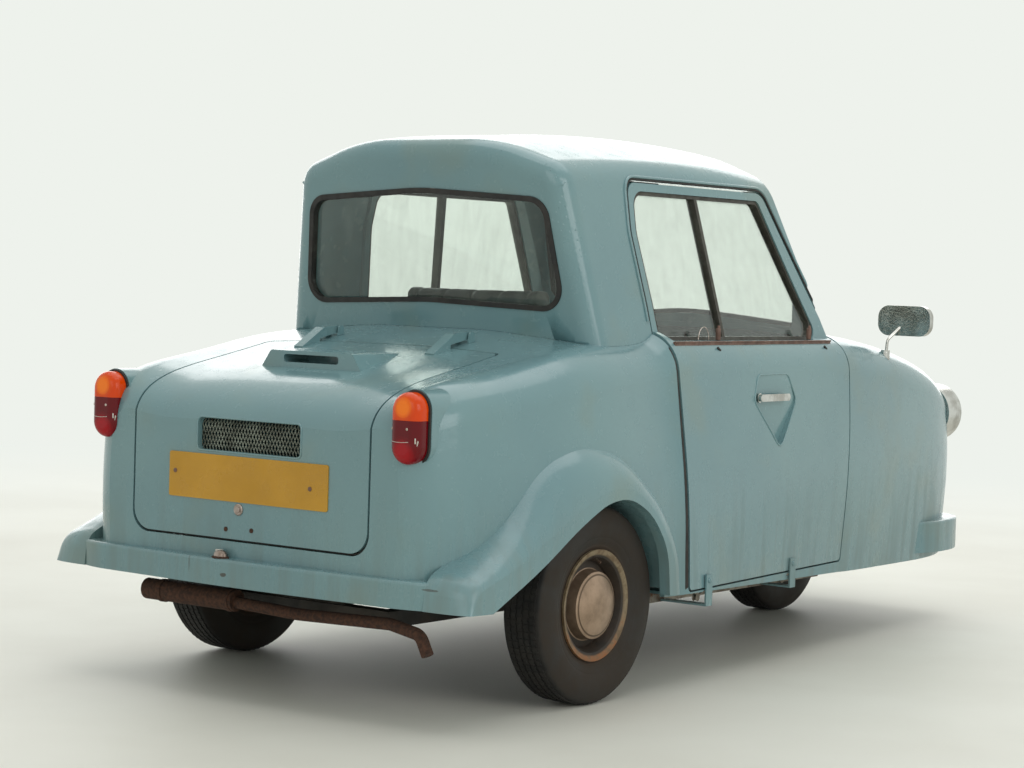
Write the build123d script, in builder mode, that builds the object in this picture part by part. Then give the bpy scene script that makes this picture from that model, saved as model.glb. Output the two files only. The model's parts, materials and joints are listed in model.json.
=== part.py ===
"""Small three wheeled car: moulded body, sliding doors, rear engine under a hinged lid.

Millimetres, +Z up. The origin is on the ground under the middle of the car,
the nose points to -Y and the car's right side is at -X.
"""
import os
from math import radians, tan

from build123d import *

os.makedirs("parts", exist_ok=True)

# Running gear
TYRE_RADIUS = 250.0
TYRE_WIDTH = 126.0
RIM_FLANGE_RADIUS = 140.0
HUB_CAP_RADIUS = 90.0
HUB_CAP_FACE = 64.5
TRACK_HALF = 572.5
REAR_AXLE_Y = 837.0
WHEELBASE = 1908.0
AXLE_RADIUS = 16.0
RUNNING_CLEARANCE = 0.05
KINGPIN_TRAIL = 40.0
KINGPIN_RADIUS = 14.0
FRONT_AXLE_Y = REAR_AXLE_Y - WHEELBASE
KINGPIN_Y = FRONT_AXLE_Y - KINGPIN_TRAIL
WELL_RADIUS = TYRE_RADIUS + 26.0
WELL_INNER_X = 470.0
WELL_OUTER_X = 655.0

# Walls, gaps and seats
BODY_WALL = 14.0
DOOR_WALL = 30.0
ROOF_WALL = 24.0
WELL_WALL = 8.0
PANEL_GAP = 5.0
LID_GAP = 6.0
SEAT_GAP = 0.3

# Where the panels meet
DOOR_REAR_Y = 458.0
DOOR_FRONT_Y = -498.0
DOOR_BOTTOM_Z = 258.0
LID_HALF = 388.0
LID_FRONT_Y = 950.0
LID_BOTTOM_Z = 394.0
LID_CORNER = 55.0
BUMPER_BOTTOM_Z = 284.0
BUMPER_TOP_Z = 350.0
FLARE_X = 686.0

# Body sections from nose to tail. Corners of each section's outline:
# y, sill x, sill z, side x, side z, crest x, crest z, crest radius, edge z (at x = LID_HALF), crown z
HULL_SECTIONS = (
    (-1446, 350, 232, 380, 450, 355, 590, 55, 596, 604),
    (-1380, 452, 218, 474, 495, 456, 706, 78, 714, 726),
    (-1250, 504, 212, 522, 525, 508, 780, 92, 790, 806),
    (-1050, 532, 212, 552, 545, 540, 838, 102, 850, 868),
    (-800, 552, 216, 576, 555, 562, 880, 108, 895, 912),
    (-498, 570, 222, 596, 560, 576, 910, 112, 930, 945),
    (458, 661, 250, 650, 510, 592, 920, 120, 948, 990),
    (770, 652, 258, 648, 520, 594, 884, 118, 900, 928),
    (1030, 634, 268, 636, 530, 588, 856, 114, 850, 860),
    (1240, 604, 277, 610, 540, 572, 830, 104, 806, 812),
    (1385, 552, 284, 562, 540, 536, 792, 84, 755, 757),
    (1446, 466, 284, 480, 540, 460, 706, 55, 682, 682),
)
NOSE_ROWS = HULL_SECTIONS[:6]
DOOR_ROWS = HULL_SECTIONS[5:7]
TAIL_ROWS = HULL_SECTIONS[6:]
TAIL_Y = TAIL_ROWS[-1][0]

# Roof sections: y, shoulder x, shoulder z, shoulder radius, crown z
ROOF_FOOT_Z = 850.0
ROOF_FOOT_X = 533.0
ROOF_SECTIONS = (
    (-720, 425, 1290, 90, 1380),
    (-380, 430, 1340, 92, 1430),
    (-120, 436, 1364, 92, 1449),
    (185, 438, 1372, 90, 1456),
    (553, 440, 1362, 88, 1443),
    (860, 443, 1338, 80, 1408),
)
SCREEN_LEAN = 0.59
REAR_LEAN = 0.15

# Rear wheel arch flare, from the bumper over the wheel to the door: y and z where it leaves
# the body, y and z of its outer rim
FLARE_POINTS = (
    (1446, 284, 1425, 284),
    (1436, 356, 1400, 334),
    (1250, 436, 1256, 380),
    (1080, 606, 1010, 500),
    (925, 655, 880, 546),
    (765, 632, 765, 545),
    (586, 500, 650, 466),
    (504, 370, 572, 356),
    (492, 258, 560, 258),
)
# Edge of the opening under the flare: y, z
LIP_POINTS = (
    (1385, 262),
    (1150, 372),
    (1000, 460),
    (880, 514),
    (785, 520),
    (685, 474),
    (606, 380),
    (590, 230),
)
# Half plan of the bumpers: x, y
REAR_BUMPER_PLAN = ((0, 1486), (500, 1462), (575, 1440), (645, 1340), (672, 1230), (600, 1150))
FRONT_BUMPER_PLAN = ((0, -1486), (380, -1466), (496, -1420), (548, -1300), (560, -1150), (520, -1011))

# Lamps
LAMP_X, LAMP_Z = 495.0, 703.0
LAMP_WIDTH, LAMP_HEIGHT = 85.0, 169.0
LAMP_PAD_Y = 1414.0
LAMP_SPLIT_Z = 722.0
HEADLAMP_X, HEADLAMP_Z, HEADLAMP_RADIUS = 405.0, 662.0, 92.0
HEADLAMP_Y = -1420.0
HEADLAMP_SEAT_Y = -1395.0

# Air scoop and grille opening of the lid, and its hinges
SCOOP_FRONT_Y, SCOOP_REAR_Y = 1010.0, 1225.0
SCOOP_BASE_HALF, SCOOP_TOP_HALF = 167.0, 135.0
SCOOP_TOP_Z = 858.0
SLOT_HALF, SLOT_LOW_Z, SLOT_HIGH_Z = 91.0, 829.0, 849.0
GRILLE_HALF, GRILLE_LOW_Z, GRILLE_HIGH_Z = 169.0, 612.0, 690.0
HINGE_X = 220.0
HINGE_Y = 884.0
HINGE_Z = 909.0
HINGE_PIN_RADIUS = 4.0
HINGE_ARM_WIDTH = 30.0


def soft_radii(points, share=0.45):
    """Radius at each inner corner of an open line, from the shorter run beside it and the turn."""
    radii = []
    for before, corner, after in zip(points, points[1:], points[2:]):
        run_in = Vector(*corner) - Vector(*before)
        run_out = Vector(*after) - Vector(*corner)
        turn = radians(run_in.get_angle(run_out))
        radii.append(share * min(run_in.length, run_out.length) / tan(turn / 2))
    return radii


def section_plane(y):
    """Plane across the car at y, its x to the car's left and its y up."""
    return Plane(origin=(0, y, 0), x_dir=(1, 0, 0), z_dir=(0, -1, 0))


def side_plane(x):
    """Plane along the car at x, its x towards the tail and its y up."""
    return Plane(origin=(x, 0, 0), x_dir=(0, 1, 0), z_dir=(1, 0, 0))


def level_plane(z):
    """Level plane at height z."""
    return Plane.XY.offset(z)


def mirrored(half):
    """The half outline's points, then the same points mirrored, last to first."""
    return list(half) + [(-x, value) for x, value in reversed(half)]


def hull(rows, inset):
    """A stretch of the lower body as one solid, its surfaces moved inwards by inset."""
    shrink = 1 - inset / TAIL_Y
    with BuildPart() as solid:
        for row in rows:
            y, sill_x, sill_z, side_x, side_z, crest_x, crest_z, crest_r, edge_z, crown_z = row
            edge_x = LID_HALF * crest_x / 590
            outline = mirrored([
                (sill_x - inset, sill_z - max(inset, 0) * 4),
                (side_x - inset, side_z),
                (crest_x - inset, crest_z - inset),
                (edge_x, edge_z - inset),
                (edge_x / 2, (edge_z + crown_z) / 2 - inset + 4),
            ])
            radii = soft_radii(outline)
            radii[1] = radii[-2] = crest_r - inset / 2
            with BuildSketch(section_plane(y * shrink)):
                with BuildLine():
                    FilletPolyline(*outline, radius=radii)
                    Line(outline[-1], outline[0])
                make_face()
        loft(ruled=len(rows) == 2)
    return solid.part


def greenhouse(inset):
    """Roof, pillars and windows as one solid, every surface moved inwards by inset."""
    with BuildPart() as solid:
        for y, shoulder_x, shoulder_z, shoulder_r, crown_z in ROOF_SECTIONS:
            outline = mirrored([
                (ROOF_FOOT_X - inset, ROOF_FOOT_Z),
                (shoulder_x - inset, shoulder_z - inset),
                (shoulder_x / 2, crown_z - inset),
            ])
            radii = soft_radii(outline)
            radii[0] = radii[-1] = shoulder_r - inset / 2
            with BuildSketch(section_plane(y)):
                with BuildLine():
                    FilletPolyline(*outline, radius=radii)
                    Line(outline[-1], outline[0])
                make_face()
        loft()
        for lean, side_y, centre_y, far_y in (
            (SCREEN_LEAN, -490 + inset, -600 + inset, 1500),
            (REAR_LEAN, 716 - inset, 742 - inset, -1500),
        ):
            with BuildSketch(level_plane(ROOF_FOOT_Z)):
                with BuildLine():
                    end = ThreePointArc((-560, side_y), (0, centre_y), (560, side_y))
                    Polyline(end @ 1, (560, far_y), (-560, far_y), end @ 0)
                make_face()
            extrude(amount=700, dir=(0, lean, 1), mode=Mode.INTERSECT)
    return solid.part


def side_prism(outline, radii, low_x, high_x):
    """Solid between low_x and high_x whose outline is given in y and z."""
    with BuildPart() as solid:
        with BuildSketch(side_plane(low_x)):
            with BuildLine():
                FilletPolyline(*outline, radius=radii, close=True)
            make_face()
        extrude(amount=high_x - low_x)
    return solid.part


def finish(piece, label):
    """Name a finished piece and write it."""
    piece.part.label = label
    export_step(piece.part, f"parts/{label}.step")


# Envelopes shared by the panels and the glass
tail_outer = hull(TAIL_ROWS, 0)
tail_inner = hull(TAIL_ROWS, BODY_WALL)
nose_outer = hull(NOSE_ROWS, 0)
nose_inner = hull(NOSE_ROWS, BODY_WALL)
cabin_outer = greenhouse(0)
cabin_inner = greenhouse(ROOF_WALL)


def lofted_flare():
    """Left wheel arch flare, swept up from the bumper and down to the door."""
    with BuildPart() as solid:
        for x, share in ((560, -0.1), (630, 0.05), (672, 0.5), (FLARE_X, 1.0)):
            outline = [
                (root_y + (rim_y - root_y) * share, root_z + (rim_z - root_z) * share)
                for root_y, root_z, rim_y, rim_z in FLARE_POINTS
            ]
            with BuildSketch(side_plane(x)):
                with BuildLine():
                    FilletPolyline(*outline, radius=soft_radii(outline))
                    Line(outline[-1], outline[0])
                make_face()
        loft()
    return solid.part


def bumper(plan, low_z, high_z, edge):
    """Bumper step round one end of the body, from its half plan."""
    outline = [(-x, y) for x, y in reversed(plan)] + list(plan[1:])
    with BuildPart() as solid:
        with BuildSketch(level_plane(low_z)):
            with BuildLine():
                FilletPolyline(*outline, radius=soft_radii(outline, 0.4))
                Line(outline[-1], outline[0])
            make_face()
        extrude(amount=high_z - low_z)
        fillet(solid.faces().sort_by(Axis.Z)[-1].edges(), edge)
    return solid.part


def lid_prism(margin):
    """Region of the engine lid over the deck and down the tail, grown by margin."""
    half = LID_HALF + margin
    height = 1000 - LID_BOTTOM_Z + margin
    with BuildPart() as solid:
        with BuildSketch(section_plane(1600)) as front:
            with Locations((0, 1000 - height / 2)):
                Rectangle(2 * half, height)
            fillet(front.vertices().group_by(Axis.Z)[0], LID_CORNER)
        extrude(amount=1600 - LID_FRONT_Y + margin)
        fillet(solid.edges().filter_by(Axis.Z).group_by(Axis.Y)[0], 24)
    return solid.part


def across_prism(sketch_points, radius, low_y, high_y):
    """Solid between two y values whose outline is given in x and z."""
    with BuildPart() as solid:
        with BuildSketch(section_plane(high_y)):
            with BuildLine():
                FilletPolyline(*sketch_points, radius=radius, close=True)
            make_face()
        extrude(amount=high_y - low_y)
    return solid.part


def headlamp_disc(radius, front_y, back_y):
    """Left headlamp's round, from its front to its back."""
    with BuildPart() as solid:
        with BuildSketch(section_plane(back_y)):
            with Locations((HEADLAMP_X, HEADLAMP_Z)):
                Circle(radius)
        extrude(amount=back_y - front_y)
    return solid.part


def lamp_prism(margin, low_y, high_y):
    """Left tail lamp's upright stadium between two y values, grown by margin."""
    with BuildPart() as solid:
        with BuildSketch(section_plane(high_y)):
            with Locations((LAMP_X, LAMP_Z)):
                SlotOverall(LAMP_HEIGHT + 2 * margin, LAMP_WIDTH + 2 * margin, rotation=90)
        extrude(amount=high_y - low_y)
    return solid.part


def door_region(margin, low_x, high_x):
    """Region of the left door between two distances from the middle, grown by margin."""
    low = DOOR_BOTTOM_Z - margin
    front, rear = DOOR_FRONT_Y - margin, DOOR_REAR_Y + margin
    outline = [
        (front, low), (rear, low), (rear, 900), (rear + 14, 1005), (rear + 48, 1190),
        (rear + 42, 1320 + margin), (-190 - margin, 1320 + margin), (front, 888),
    ]
    return side_prism(outline, [12, 12, 200, 150, 120, 36, 60, 40], low_x, high_x)


def tyre_clearance(radius, low_x, high_x):
    """Cylinder about the left rear wheel's axis."""
    with BuildPart() as solid:
        with BuildSketch(side_plane(low_x)):
            with Locations((REAR_AXLE_Y, TYRE_RADIUS)):
                Circle(radius)
        extrude(amount=high_x - low_x)
    return solid.part


def both_sides(solid):
    """The solid and its mirror image on the other side of the car."""
    return [solid, mirror(solid, about=Plane.YZ, mode=Mode.PRIVATE)]


def body_block(low, high):
    """Box from its low corner to its high corner."""
    size = [b - a for a, b in zip(low, high)]
    middle = [(a + b) / 2 for a, b in zip(low, high)]
    with BuildPart() as solid:
        with Locations(tuple(middle)):
            Box(*size)
    return solid.part


def wheel_well():
    """Left wheel well inside the rear body: a half drum closed on its inner side."""
    drum = tyre_clearance(WELL_RADIUS + WELL_WALL, WELL_INNER_X - WELL_WALL, WELL_OUTER_X - 20)
    with BuildPart() as solid:
        add(drum)
        add(tyre_clearance(WELL_RADIUS, WELL_INNER_X, WELL_OUTER_X), mode=Mode.SUBTRACT)
        add(body_block((400, 500, 272), (700, 1200, 700)), mode=Mode.INTERSECT)
    return solid.part


# Rear body: quarters, deck, bumper, flares and wheel wells in one moulding
left_flare = lofted_flare()
arch_cut = side_prism(
    list(LIP_POINTS) + [(590, 150), (1385, 150)],
    soft_radii([(1385, 150)] + list(LIP_POINTS) + [(590, 150)]) + [0, 0], 480, 720,
)
with BuildPart() as rear_body:
    add(tail_outer)
    add(both_sides(left_flare))
    add(bumper(REAR_BUMPER_PLAN, BUMPER_BOTTOM_Z, BUMPER_TOP_Z, 8))
    add(both_sides(lamp_prism(7, 1330, LAMP_PAD_Y)))
    add(tail_inner, mode=Mode.SUBTRACT)
    add(cabin_inner, mode=Mode.SUBTRACT)
    add(lid_prism(LID_GAP / 2), mode=Mode.SUBTRACT)
    add(both_sides(wheel_well()))
    add(both_sides(arch_cut), mode=Mode.SUBTRACT)
    add(both_sides(tyre_clearance(WELL_RADIUS, WELL_INNER_X, WELL_OUTER_X)), mode=Mode.SUBTRACT)
    add(both_sides(door_region(PANEL_GAP, 480, 720)), mode=Mode.SUBTRACT)
finish(rear_body, "rear_body")

# Engine lid with its air scoop and grille opening
with BuildPart() as engine_lid:
    add(tail_outer)
    add(tail_inner, mode=Mode.SUBTRACT)
    add(lid_prism(-LID_GAP / 2), mode=Mode.INTERSECT)
    scoop = across_prism(
        [(-SCOOP_BASE_HALF, 760), (SCOOP_BASE_HALF, 760), (SCOOP_BASE_HALF, 812), (SCOOP_TOP_HALF, SCOOP_TOP_Z),
         (-SCOOP_TOP_HALF, SCOOP_TOP_Z), (-SCOOP_BASE_HALF, 812)],
        [0, 0, 12, 12, 12, 12], SCOOP_FRONT_Y, SCOOP_REAR_Y)
    with BuildPart(mode=Mode.PRIVATE) as scoop_skin:
        add(scoop)
        add(tail_inner, mode=Mode.SUBTRACT)
    add(scoop_skin.part)
    slot = across_prism(
        [(-SLOT_HALF, SLOT_LOW_Z), (SLOT_HALF, SLOT_LOW_Z), (SLOT_HALF, SLOT_HIGH_Z), (-SLOT_HALF, SLOT_HIGH_Z)],
        [8, 8, 8, 8], SCOOP_REAR_Y - 90, SCOOP_REAR_Y + 50)
    add(slot, mode=Mode.SUBTRACT)
    add(body_block((-SLOT_HALF + 9, SCOOP_REAR_Y - 90, 760), (SLOT_HALF - 9, SCOOP_REAR_Y - 30, 838)), mode=Mode.SUBTRACT)
    grille_opening = across_prism(
        [(-GRILLE_HALF, GRILLE_LOW_Z), (GRILLE_HALF, GRILLE_LOW_Z), (GRILLE_HALF, GRILLE_HIGH_Z),
         (-GRILLE_HALF, GRILLE_HIGH_Z)], [12, 12, 12, 12], 1300, 1500)
    add(grille_opening, mode=Mode.SUBTRACT)
    for side in (-1, 1):
        x = side * HINGE_X
        arm = side_prism(
            [(HINGE_Y - 9, HINGE_Z - 9), (LID_FRONT_Y + 8, 884), (LID_FRONT_Y + 10, 850), (1022, 840),
             (1026, 862), (940, HINGE_Z + 4), (HINGE_Y - 9, HINGE_Z + 9)],
            [6, 0, 0, 0, 0, 30, 6], x - HINGE_ARM_WIDTH / 2, x + HINGE_ARM_WIDTH / 2)
        add(arm)
        with BuildSketch(side_plane(x - 20)):
            with Locations((HINGE_Y, HINGE_Z)):
                Circle(HINGE_PIN_RADIUS + RUNNING_CLEARANCE)
        extrude(amount=40, mode=Mode.SUBTRACT)
finish(engine_lid, "engine_lid")

# Lid hinges: a pin through each arm, carried by two ears on the deck
with BuildPart() as lid_hinges:
    for side in (-1, 1):
        x = side * HINGE_X
        with BuildSketch(side_plane(x - HINGE_ARM_WIDTH / 2 - 11)):
            with Locations((HINGE_Y, HINGE_Z)):
                Circle(HINGE_PIN_RADIUS)
        extrude(amount=HINGE_ARM_WIDTH + 22)
        for ear_x in (x - HINGE_ARM_WIDTH / 2 - 11, x + HINGE_ARM_WIDTH / 2 + 6):
            ear = side_prism(
                [(HINGE_Y - 18, 860), (HINGE_Y + 18, 860), (HINGE_Y + 8, HINGE_Z + 8), (HINGE_Y - 8, HINGE_Z + 8)],
                [0, 0, 6, 6], ear_x, ear_x + 5)
            add(ear)
    add(hull(TAIL_ROWS, -SEAT_GAP), mode=Mode.SUBTRACT)
finish(lid_hinges, "lid_hinges")

# Mesh behind the lid's opening
with BuildPart() as grille_mesh:
    add(across_prism(
        [(-GRILLE_HALF - 8, GRILLE_LOW_Z - 8), (GRILLE_HALF + 8, GRILLE_LOW_Z - 8),
         (GRILLE_HALF + 8, GRILLE_HIGH_Z + 8), (-GRILLE_HALF - 8, GRILLE_HIGH_Z + 8)], [4, 4, 4, 4], 1417, 1431.7))
    add(hull(TAIL_ROWS, BODY_WALL + SEAT_GAP), mode=Mode.INTERSECT)
    add(hull(TAIL_ROWS, BODY_WALL + SEAT_GAP + 3), mode=Mode.SUBTRACT)
finish(grille_mesh, "grille_mesh")

# Front body: nose, wings and bumper, with a cup behind each headlamp
headlamp_backs = [
    piece & nose_outer for piece in
    both_sides(headlamp_disc(HEADLAMP_RADIUS + 10, HEADLAMP_SEAT_Y, HEADLAMP_SEAT_Y + 10))
]
with BuildPart() as front_body:
    add(nose_outer)
    add(bumper(FRONT_BUMPER_PLAN, 232, 330, 8))
    add(nose_inner, mode=Mode.SUBTRACT)
    add(both_sides(headlamp_disc(HEADLAMP_RADIUS + 1, -1500, HEADLAMP_SEAT_Y)), mode=Mode.SUBTRACT)
    add(headlamp_backs, mode=Mode.ADD)
    add(cabin_inner, mode=Mode.SUBTRACT)
    add(both_sides(door_region(PANEL_GAP, 480, 720)), mode=Mode.SUBTRACT)
finish(front_body, "front_body")

# Windows: corners and middle of each outline, x and z
REAR_WINDOW = ((440, 972), (398, 1266))
REAR_WINDOW_MIDDLES = (988, 1290)
SCREEN = ((464, 932), (376, 1342))
SCREEN_MIDDLES = (970, 1376)
SEAL_WIDTH = 14.0
GLASS_DEPTH = 8.0
GLASS_THICKNESS = 5.0


def window_prism(corners, middles, margin, low_y, high_y, radius):
    """Region of a front or rear window between two y values, grown by margin."""
    (low_x, low_z), (top_x, top_z) = corners
    outline = [
        (0, middles[0] - margin), (low_x + margin, low_z - margin), (top_x + margin, top_z + margin),
        (0, middles[1] + margin), (-top_x - margin, top_z + margin), (-low_x - margin, low_z - margin),
    ]
    radii = [900, radius, radius, 900, radius, radius]
    with BuildPart() as solid:
        with BuildSketch(section_plane(high_y)):
            with BuildLine():
                FilletPolyline(*outline, radius=radii, close=True)
            make_face()
        extrude(amount=high_y - low_y)
    return solid.part


def rear_window(margin):
    """Region of the rear window."""
    return window_prism(REAR_WINDOW, REAR_WINDOW_MIDDLES, margin, 600, 900, 62 + margin)


def windscreen(margin):
    """Region of the windscreen."""
    return window_prism(SCREEN, SCREEN_MIDDLES, margin, -720, -200, 60 + margin)


# Roof moulding with the rear window and windscreen openings
with BuildPart() as roof:
    add(cabin_outer)
    add(cabin_inner, mode=Mode.SUBTRACT)
    add(hull(TAIL_ROWS, -SEAT_GAP), mode=Mode.SUBTRACT)
    add(hull(NOSE_ROWS, -SEAT_GAP), mode=Mode.SUBTRACT)
    add(hull(DOOR_ROWS, -SEAT_GAP), mode=Mode.SUBTRACT)
    add(rear_window(0), mode=Mode.SUBTRACT)
    add(windscreen(0), mode=Mode.SUBTRACT)
    add(both_sides(door_region(PANEL_GAP, 400, 720)), mode=Mode.SUBTRACT)
finish(roof, "roof")

# Glass and rubber seals of the fixed windows
glass_skin = greenhouse(GLASS_DEPTH) - greenhouse(GLASS_DEPTH + GLASS_THICKNESS)
seal_skin = greenhouse(-4) - greenhouse(GLASS_DEPTH + GLASS_THICKNESS + 4)
with BuildPart() as rear_glass:
    add(glass_skin)
    add(rear_window(-SEAL_WIDTH), mode=Mode.INTERSECT)
finish(rear_glass, "rear_glass")
with BuildPart() as rear_seal:
    add(seal_skin)
    add(rear_window(-SEAT_GAP), mode=Mode.INTERSECT)
    add(rear_window(-SEAL_WIDTH), mode=Mode.SUBTRACT)
finish(rear_seal, "rear_seal")
with BuildPart() as screen_glass:
    add(glass_skin)
    add(windscreen(-SEAL_WIDTH), mode=Mode.INTERSECT)
finish(screen_glass, "screen_glass")
with BuildPart() as screen_seal:
    add(seal_skin)
    add(windscreen(-SEAT_GAP), mode=Mode.INTERSECT)
    add(windscreen(-SEAL_WIDTH), mode=Mode.SUBTRACT)
finish(screen_seal, "screen_seal")

# Sliding doors, their windows of two panes, and the teardrop recess behind the handle
HANDLE_Y = 48.0
HANDLE_Z = 750.0
HANDLE_LENGTH = 160.0
RECESS_FLOOR_X = 594.0
RECESS_OUTLINE = ((72, 740), (44, 812), (-124, 812), (-166, 740), (-62, 606))


def window_region(margin, low_x, high_x):
    """Region of the left side window, shrunk by margin."""
    outline = [
        (-418 + 1.5 * margin, 905 + margin), (434 - margin, 905 + margin), (449 - margin, 1005),
        (486 - margin, 1190), (480 - margin, 1298 - margin), (-166 + 0.5 * margin, 1298 - margin),
    ]
    return side_prism(outline, [30, 24, 150, 120, 46 - margin, 24], low_x, high_x)


with BuildPart() as door_left:
    add(hull(DOOR_ROWS, 0))
    add(cabin_outer)
    add(hull(DOOR_ROWS, DOOR_WALL), mode=Mode.SUBTRACT)
    add(greenhouse(DOOR_WALL), mode=Mode.SUBTRACT)
    add(door_region(0, 380, 720), mode=Mode.INTERSECT)
    add(window_region(0, 300, 800), mode=Mode.SUBTRACT)
    add(side_prism(RECESS_OUTLINE, [24, 24, 24, 24, 24], RECESS_FLOOR_X, 720), mode=Mode.SUBTRACT)
finish(door_left, "door_left")
with BuildPart() as door_right:
    mirror(door_left.part, about=Plane.YZ)
finish(door_right, "door_right")

BAR_WIDTH = 14.0
window_bar = side_prism(
    [(92, 890), (92 + BAR_WIDTH, 890), (163 + BAR_WIDTH, 1310), (163, 1310)], [0, 0, 0, 0], 300, 800)
frame_skin = greenhouse(4) - greenhouse(26)
with BuildPart() as window_frame_left:
    add(frame_skin)
    add(window_region(SEAT_GAP, 300, 800), mode=Mode.INTERSECT)
    with BuildPart(mode=Mode.PRIVATE) as daylight:
        add(window_region(10, 300, 800))
        add(window_bar, mode=Mode.SUBTRACT)
    add(daylight.part, mode=Mode.SUBTRACT)
finish(window_frame_left, "window_frame_left")
with BuildPart() as window_frame_right:
    mirror(window_frame_left.part, about=Plane.YZ)
finish(window_frame_right, "window_frame_right")

pane_skin = greenhouse(13) - greenhouse(17)
with BuildPart() as door_glass_left:
    add(pane_skin)
    add(window_region(10, 300, 800), mode=Mode.INTERSECT)
    add(window_bar, mode=Mode.SUBTRACT)
finish(door_glass_left, "door_glass_left")
with BuildPart() as door_glass_right:
    mirror(door_glass_left.part, about=Plane.YZ)
finish(door_glass_right, "door_glass_right")

# Floor with skirts under the doors, rear bulkhead and toe board
FLOOR_TOP = 253.0
FLOOR_BOTTOM = 245.0
BULKHEAD_Y = 612.0
TOE_BOARD_Y = -760.0
TOE_BOARD_TOP = 780.0
with BuildPart() as floor_pan:
    add(hull(DOOR_ROWS, 0))
    add(body_block((-700, DOOR_FRONT_Y - 4, 150), (700, DOOR_REAR_Y + 4, FLOOR_TOP)), mode=Mode.INTERSECT)
    for rows, low_y, high_y in (
        (TAIL_ROWS, DOOR_REAR_Y, 500), (NOSE_ROWS, TOE_BOARD_Y, DOOR_FRONT_Y),
    ):
        with BuildPart(mode=Mode.PRIVATE) as extension:
            add(hull(rows, BODY_WALL + SEAT_GAP))
            add(body_block((-700, low_y, FLOOR_BOTTOM), (700, high_y, FLOOR_TOP)), mode=Mode.INTERSECT)
        add(extension.part)
    add(body_block((-520, -600, 150), (520, 560, FLOOR_BOTTOM)), mode=Mode.SUBTRACT)
    add(body_block((-390, DOOR_REAR_Y, FLOOR_BOTTOM), (390, BULKHEAD_Y + 8, FLOOR_TOP)))
    add(body_block((-390, BULKHEAD_Y, FLOOR_BOTTOM), (390, BULKHEAD_Y + 8, 320)))
    add(body_block((-455, BULKHEAD_Y, 310), (455, BULKHEAD_Y + 8, 820)))
    add(body_block((-480, TOE_BOARD_Y, FLOOR_BOTTOM), (480, TOE_BOARD_Y + 8, TOE_BOARD_TOP)))
finish(floor_pan, "floor_pan")

# Chassis: two rails with cross members, uprights at the toe board and the steering head
RAIL_X = 320.0
RAIL_WIDTH = 40.0
RAIL_BOTTOM = 205.0
CROSS_YS = (-700, -100, 540, 980, 1280)
HEAD_RADIUS = 30.0
HEAD_LOW, HEAD_HIGH = 548.0, 640.0
with BuildPart() as chassis_frame:
    for side in (-1, 1):
        middle = side * RAIL_X
        add(body_block((middle - RAIL_WIDTH / 2, -720, RAIL_BOTTOM), (middle + RAIL_WIDTH / 2, 1300, FLOOR_BOTTOM)))
        upright = side * 200
        add(body_block((upright - 15, -730, RAIL_BOTTOM), (upright + 15, -700, FLOOR_BOTTOM)))
        add(body_block((upright - 15, -792, 300), (upright + 15, TOE_BOARD_Y, 605)))
    for y in CROSS_YS:
        add(body_block((-RAIL_X, y - 20, RAIL_BOTTOM), (RAIL_X, y + 20, FLOOR_BOTTOM)))
    add(body_block((-215, -792, RAIL_BOTTOM), (215, -720, RAIL_BOTTOM + 30)))
    add(body_block((-215, -792, RAIL_BOTTOM), (-185, TOE_BOARD_Y, 605)))
    add(body_block((185, -792, RAIL_BOTTOM), (215, TOE_BOARD_Y, 605)))
    add(body_block((-215, -792, 570), (215, TOE_BOARD_Y, 605)))
    add(body_block((-30, KINGPIN_Y, 570), (30, TOE_BOARD_Y, 605)))
    with BuildSketch(level_plane(HEAD_LOW)):
        with Locations((0, KINGPIN_Y)):
            Circle(HEAD_RADIUS)
    extrude(amount=HEAD_HIGH - HEAD_LOW)
    with Locations((0, KINGPIN_Y, HEAD_HIGH)):
        Hole(KINGPIN_RADIUS + RUNNING_CLEARANCE)
finish(chassis_frame, "chassis_frame")

# Front fork with its kingpin and axle
FORK_LEG_X = 88.0
FORK_LEG_THICKNESS = 20.0
CROWN_TOP = 545.0
with BuildPart() as front_fork:
    outer = FORK_LEG_X + FORK_LEG_THICKNESS / 2
    inner = FORK_LEG_X - FORK_LEG_THICKNESS / 2
    add(body_block((-outer, KINGPIN_Y - 30, CROWN_TOP - 25), (outer, KINGPIN_Y + 30, CROWN_TOP)))
    leg = side_prism(
        [(KINGPIN_Y - 28, CROWN_TOP - 5), (FRONT_AXLE_Y - 28, TYRE_RADIUS - 20),
         (FRONT_AXLE_Y + 28, TYRE_RADIUS - 20), (KINGPIN_Y + 28, CROWN_TOP - 5)],
        [0, 24, 24, 0], inner, outer)
    add(both_sides(leg))
    with BuildSketch(side_plane(-inner - 1)):
        with Locations((FRONT_AXLE_Y, TYRE_RADIUS)):
            Circle(AXLE_RADIUS)
    extrude(amount=2 * inner + 2)
    with BuildSketch(level_plane(CROWN_TOP - 1)):
        with Locations((0, KINGPIN_Y)):
            Circle(KINGPIN_RADIUS)
    extrude(amount=HEAD_HIGH + 12 - CROWN_TOP)
finish(front_fork, "front_fork")


def revolved_ring(points):
    """Closed outline of x and radius turned about the X axis."""
    with BuildPart() as solid:
        with BuildSketch(Plane.XY):
            with BuildLine():
                Polyline(*points, close=True)
            make_face()
        revolve(axis=Axis.X)
    return solid.part


def hub_cap():
    """Domed cap pressed onto the road side of the disc."""
    with BuildPart() as solid:
        with BuildSketch(Plane.XY):
            with BuildLine():
                Polyline((HUB_CAP_FACE - 4, 10), (HUB_CAP_FACE - 4, 0), (HUB_CAP_FACE, 0), (HUB_CAP_FACE, 10))
                ThreePointArc((HUB_CAP_FACE, 10), (61, 47), (50, 84))
                Polyline((50, 84), (20, HUB_CAP_RADIUS), (20, 80), (46, 78))
                ThreePointArc((46, 78), (57, 44), (HUB_CAP_FACE - 4, 10))
            make_face()
        revolve(axis=Axis.X)
    return solid.part


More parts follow.
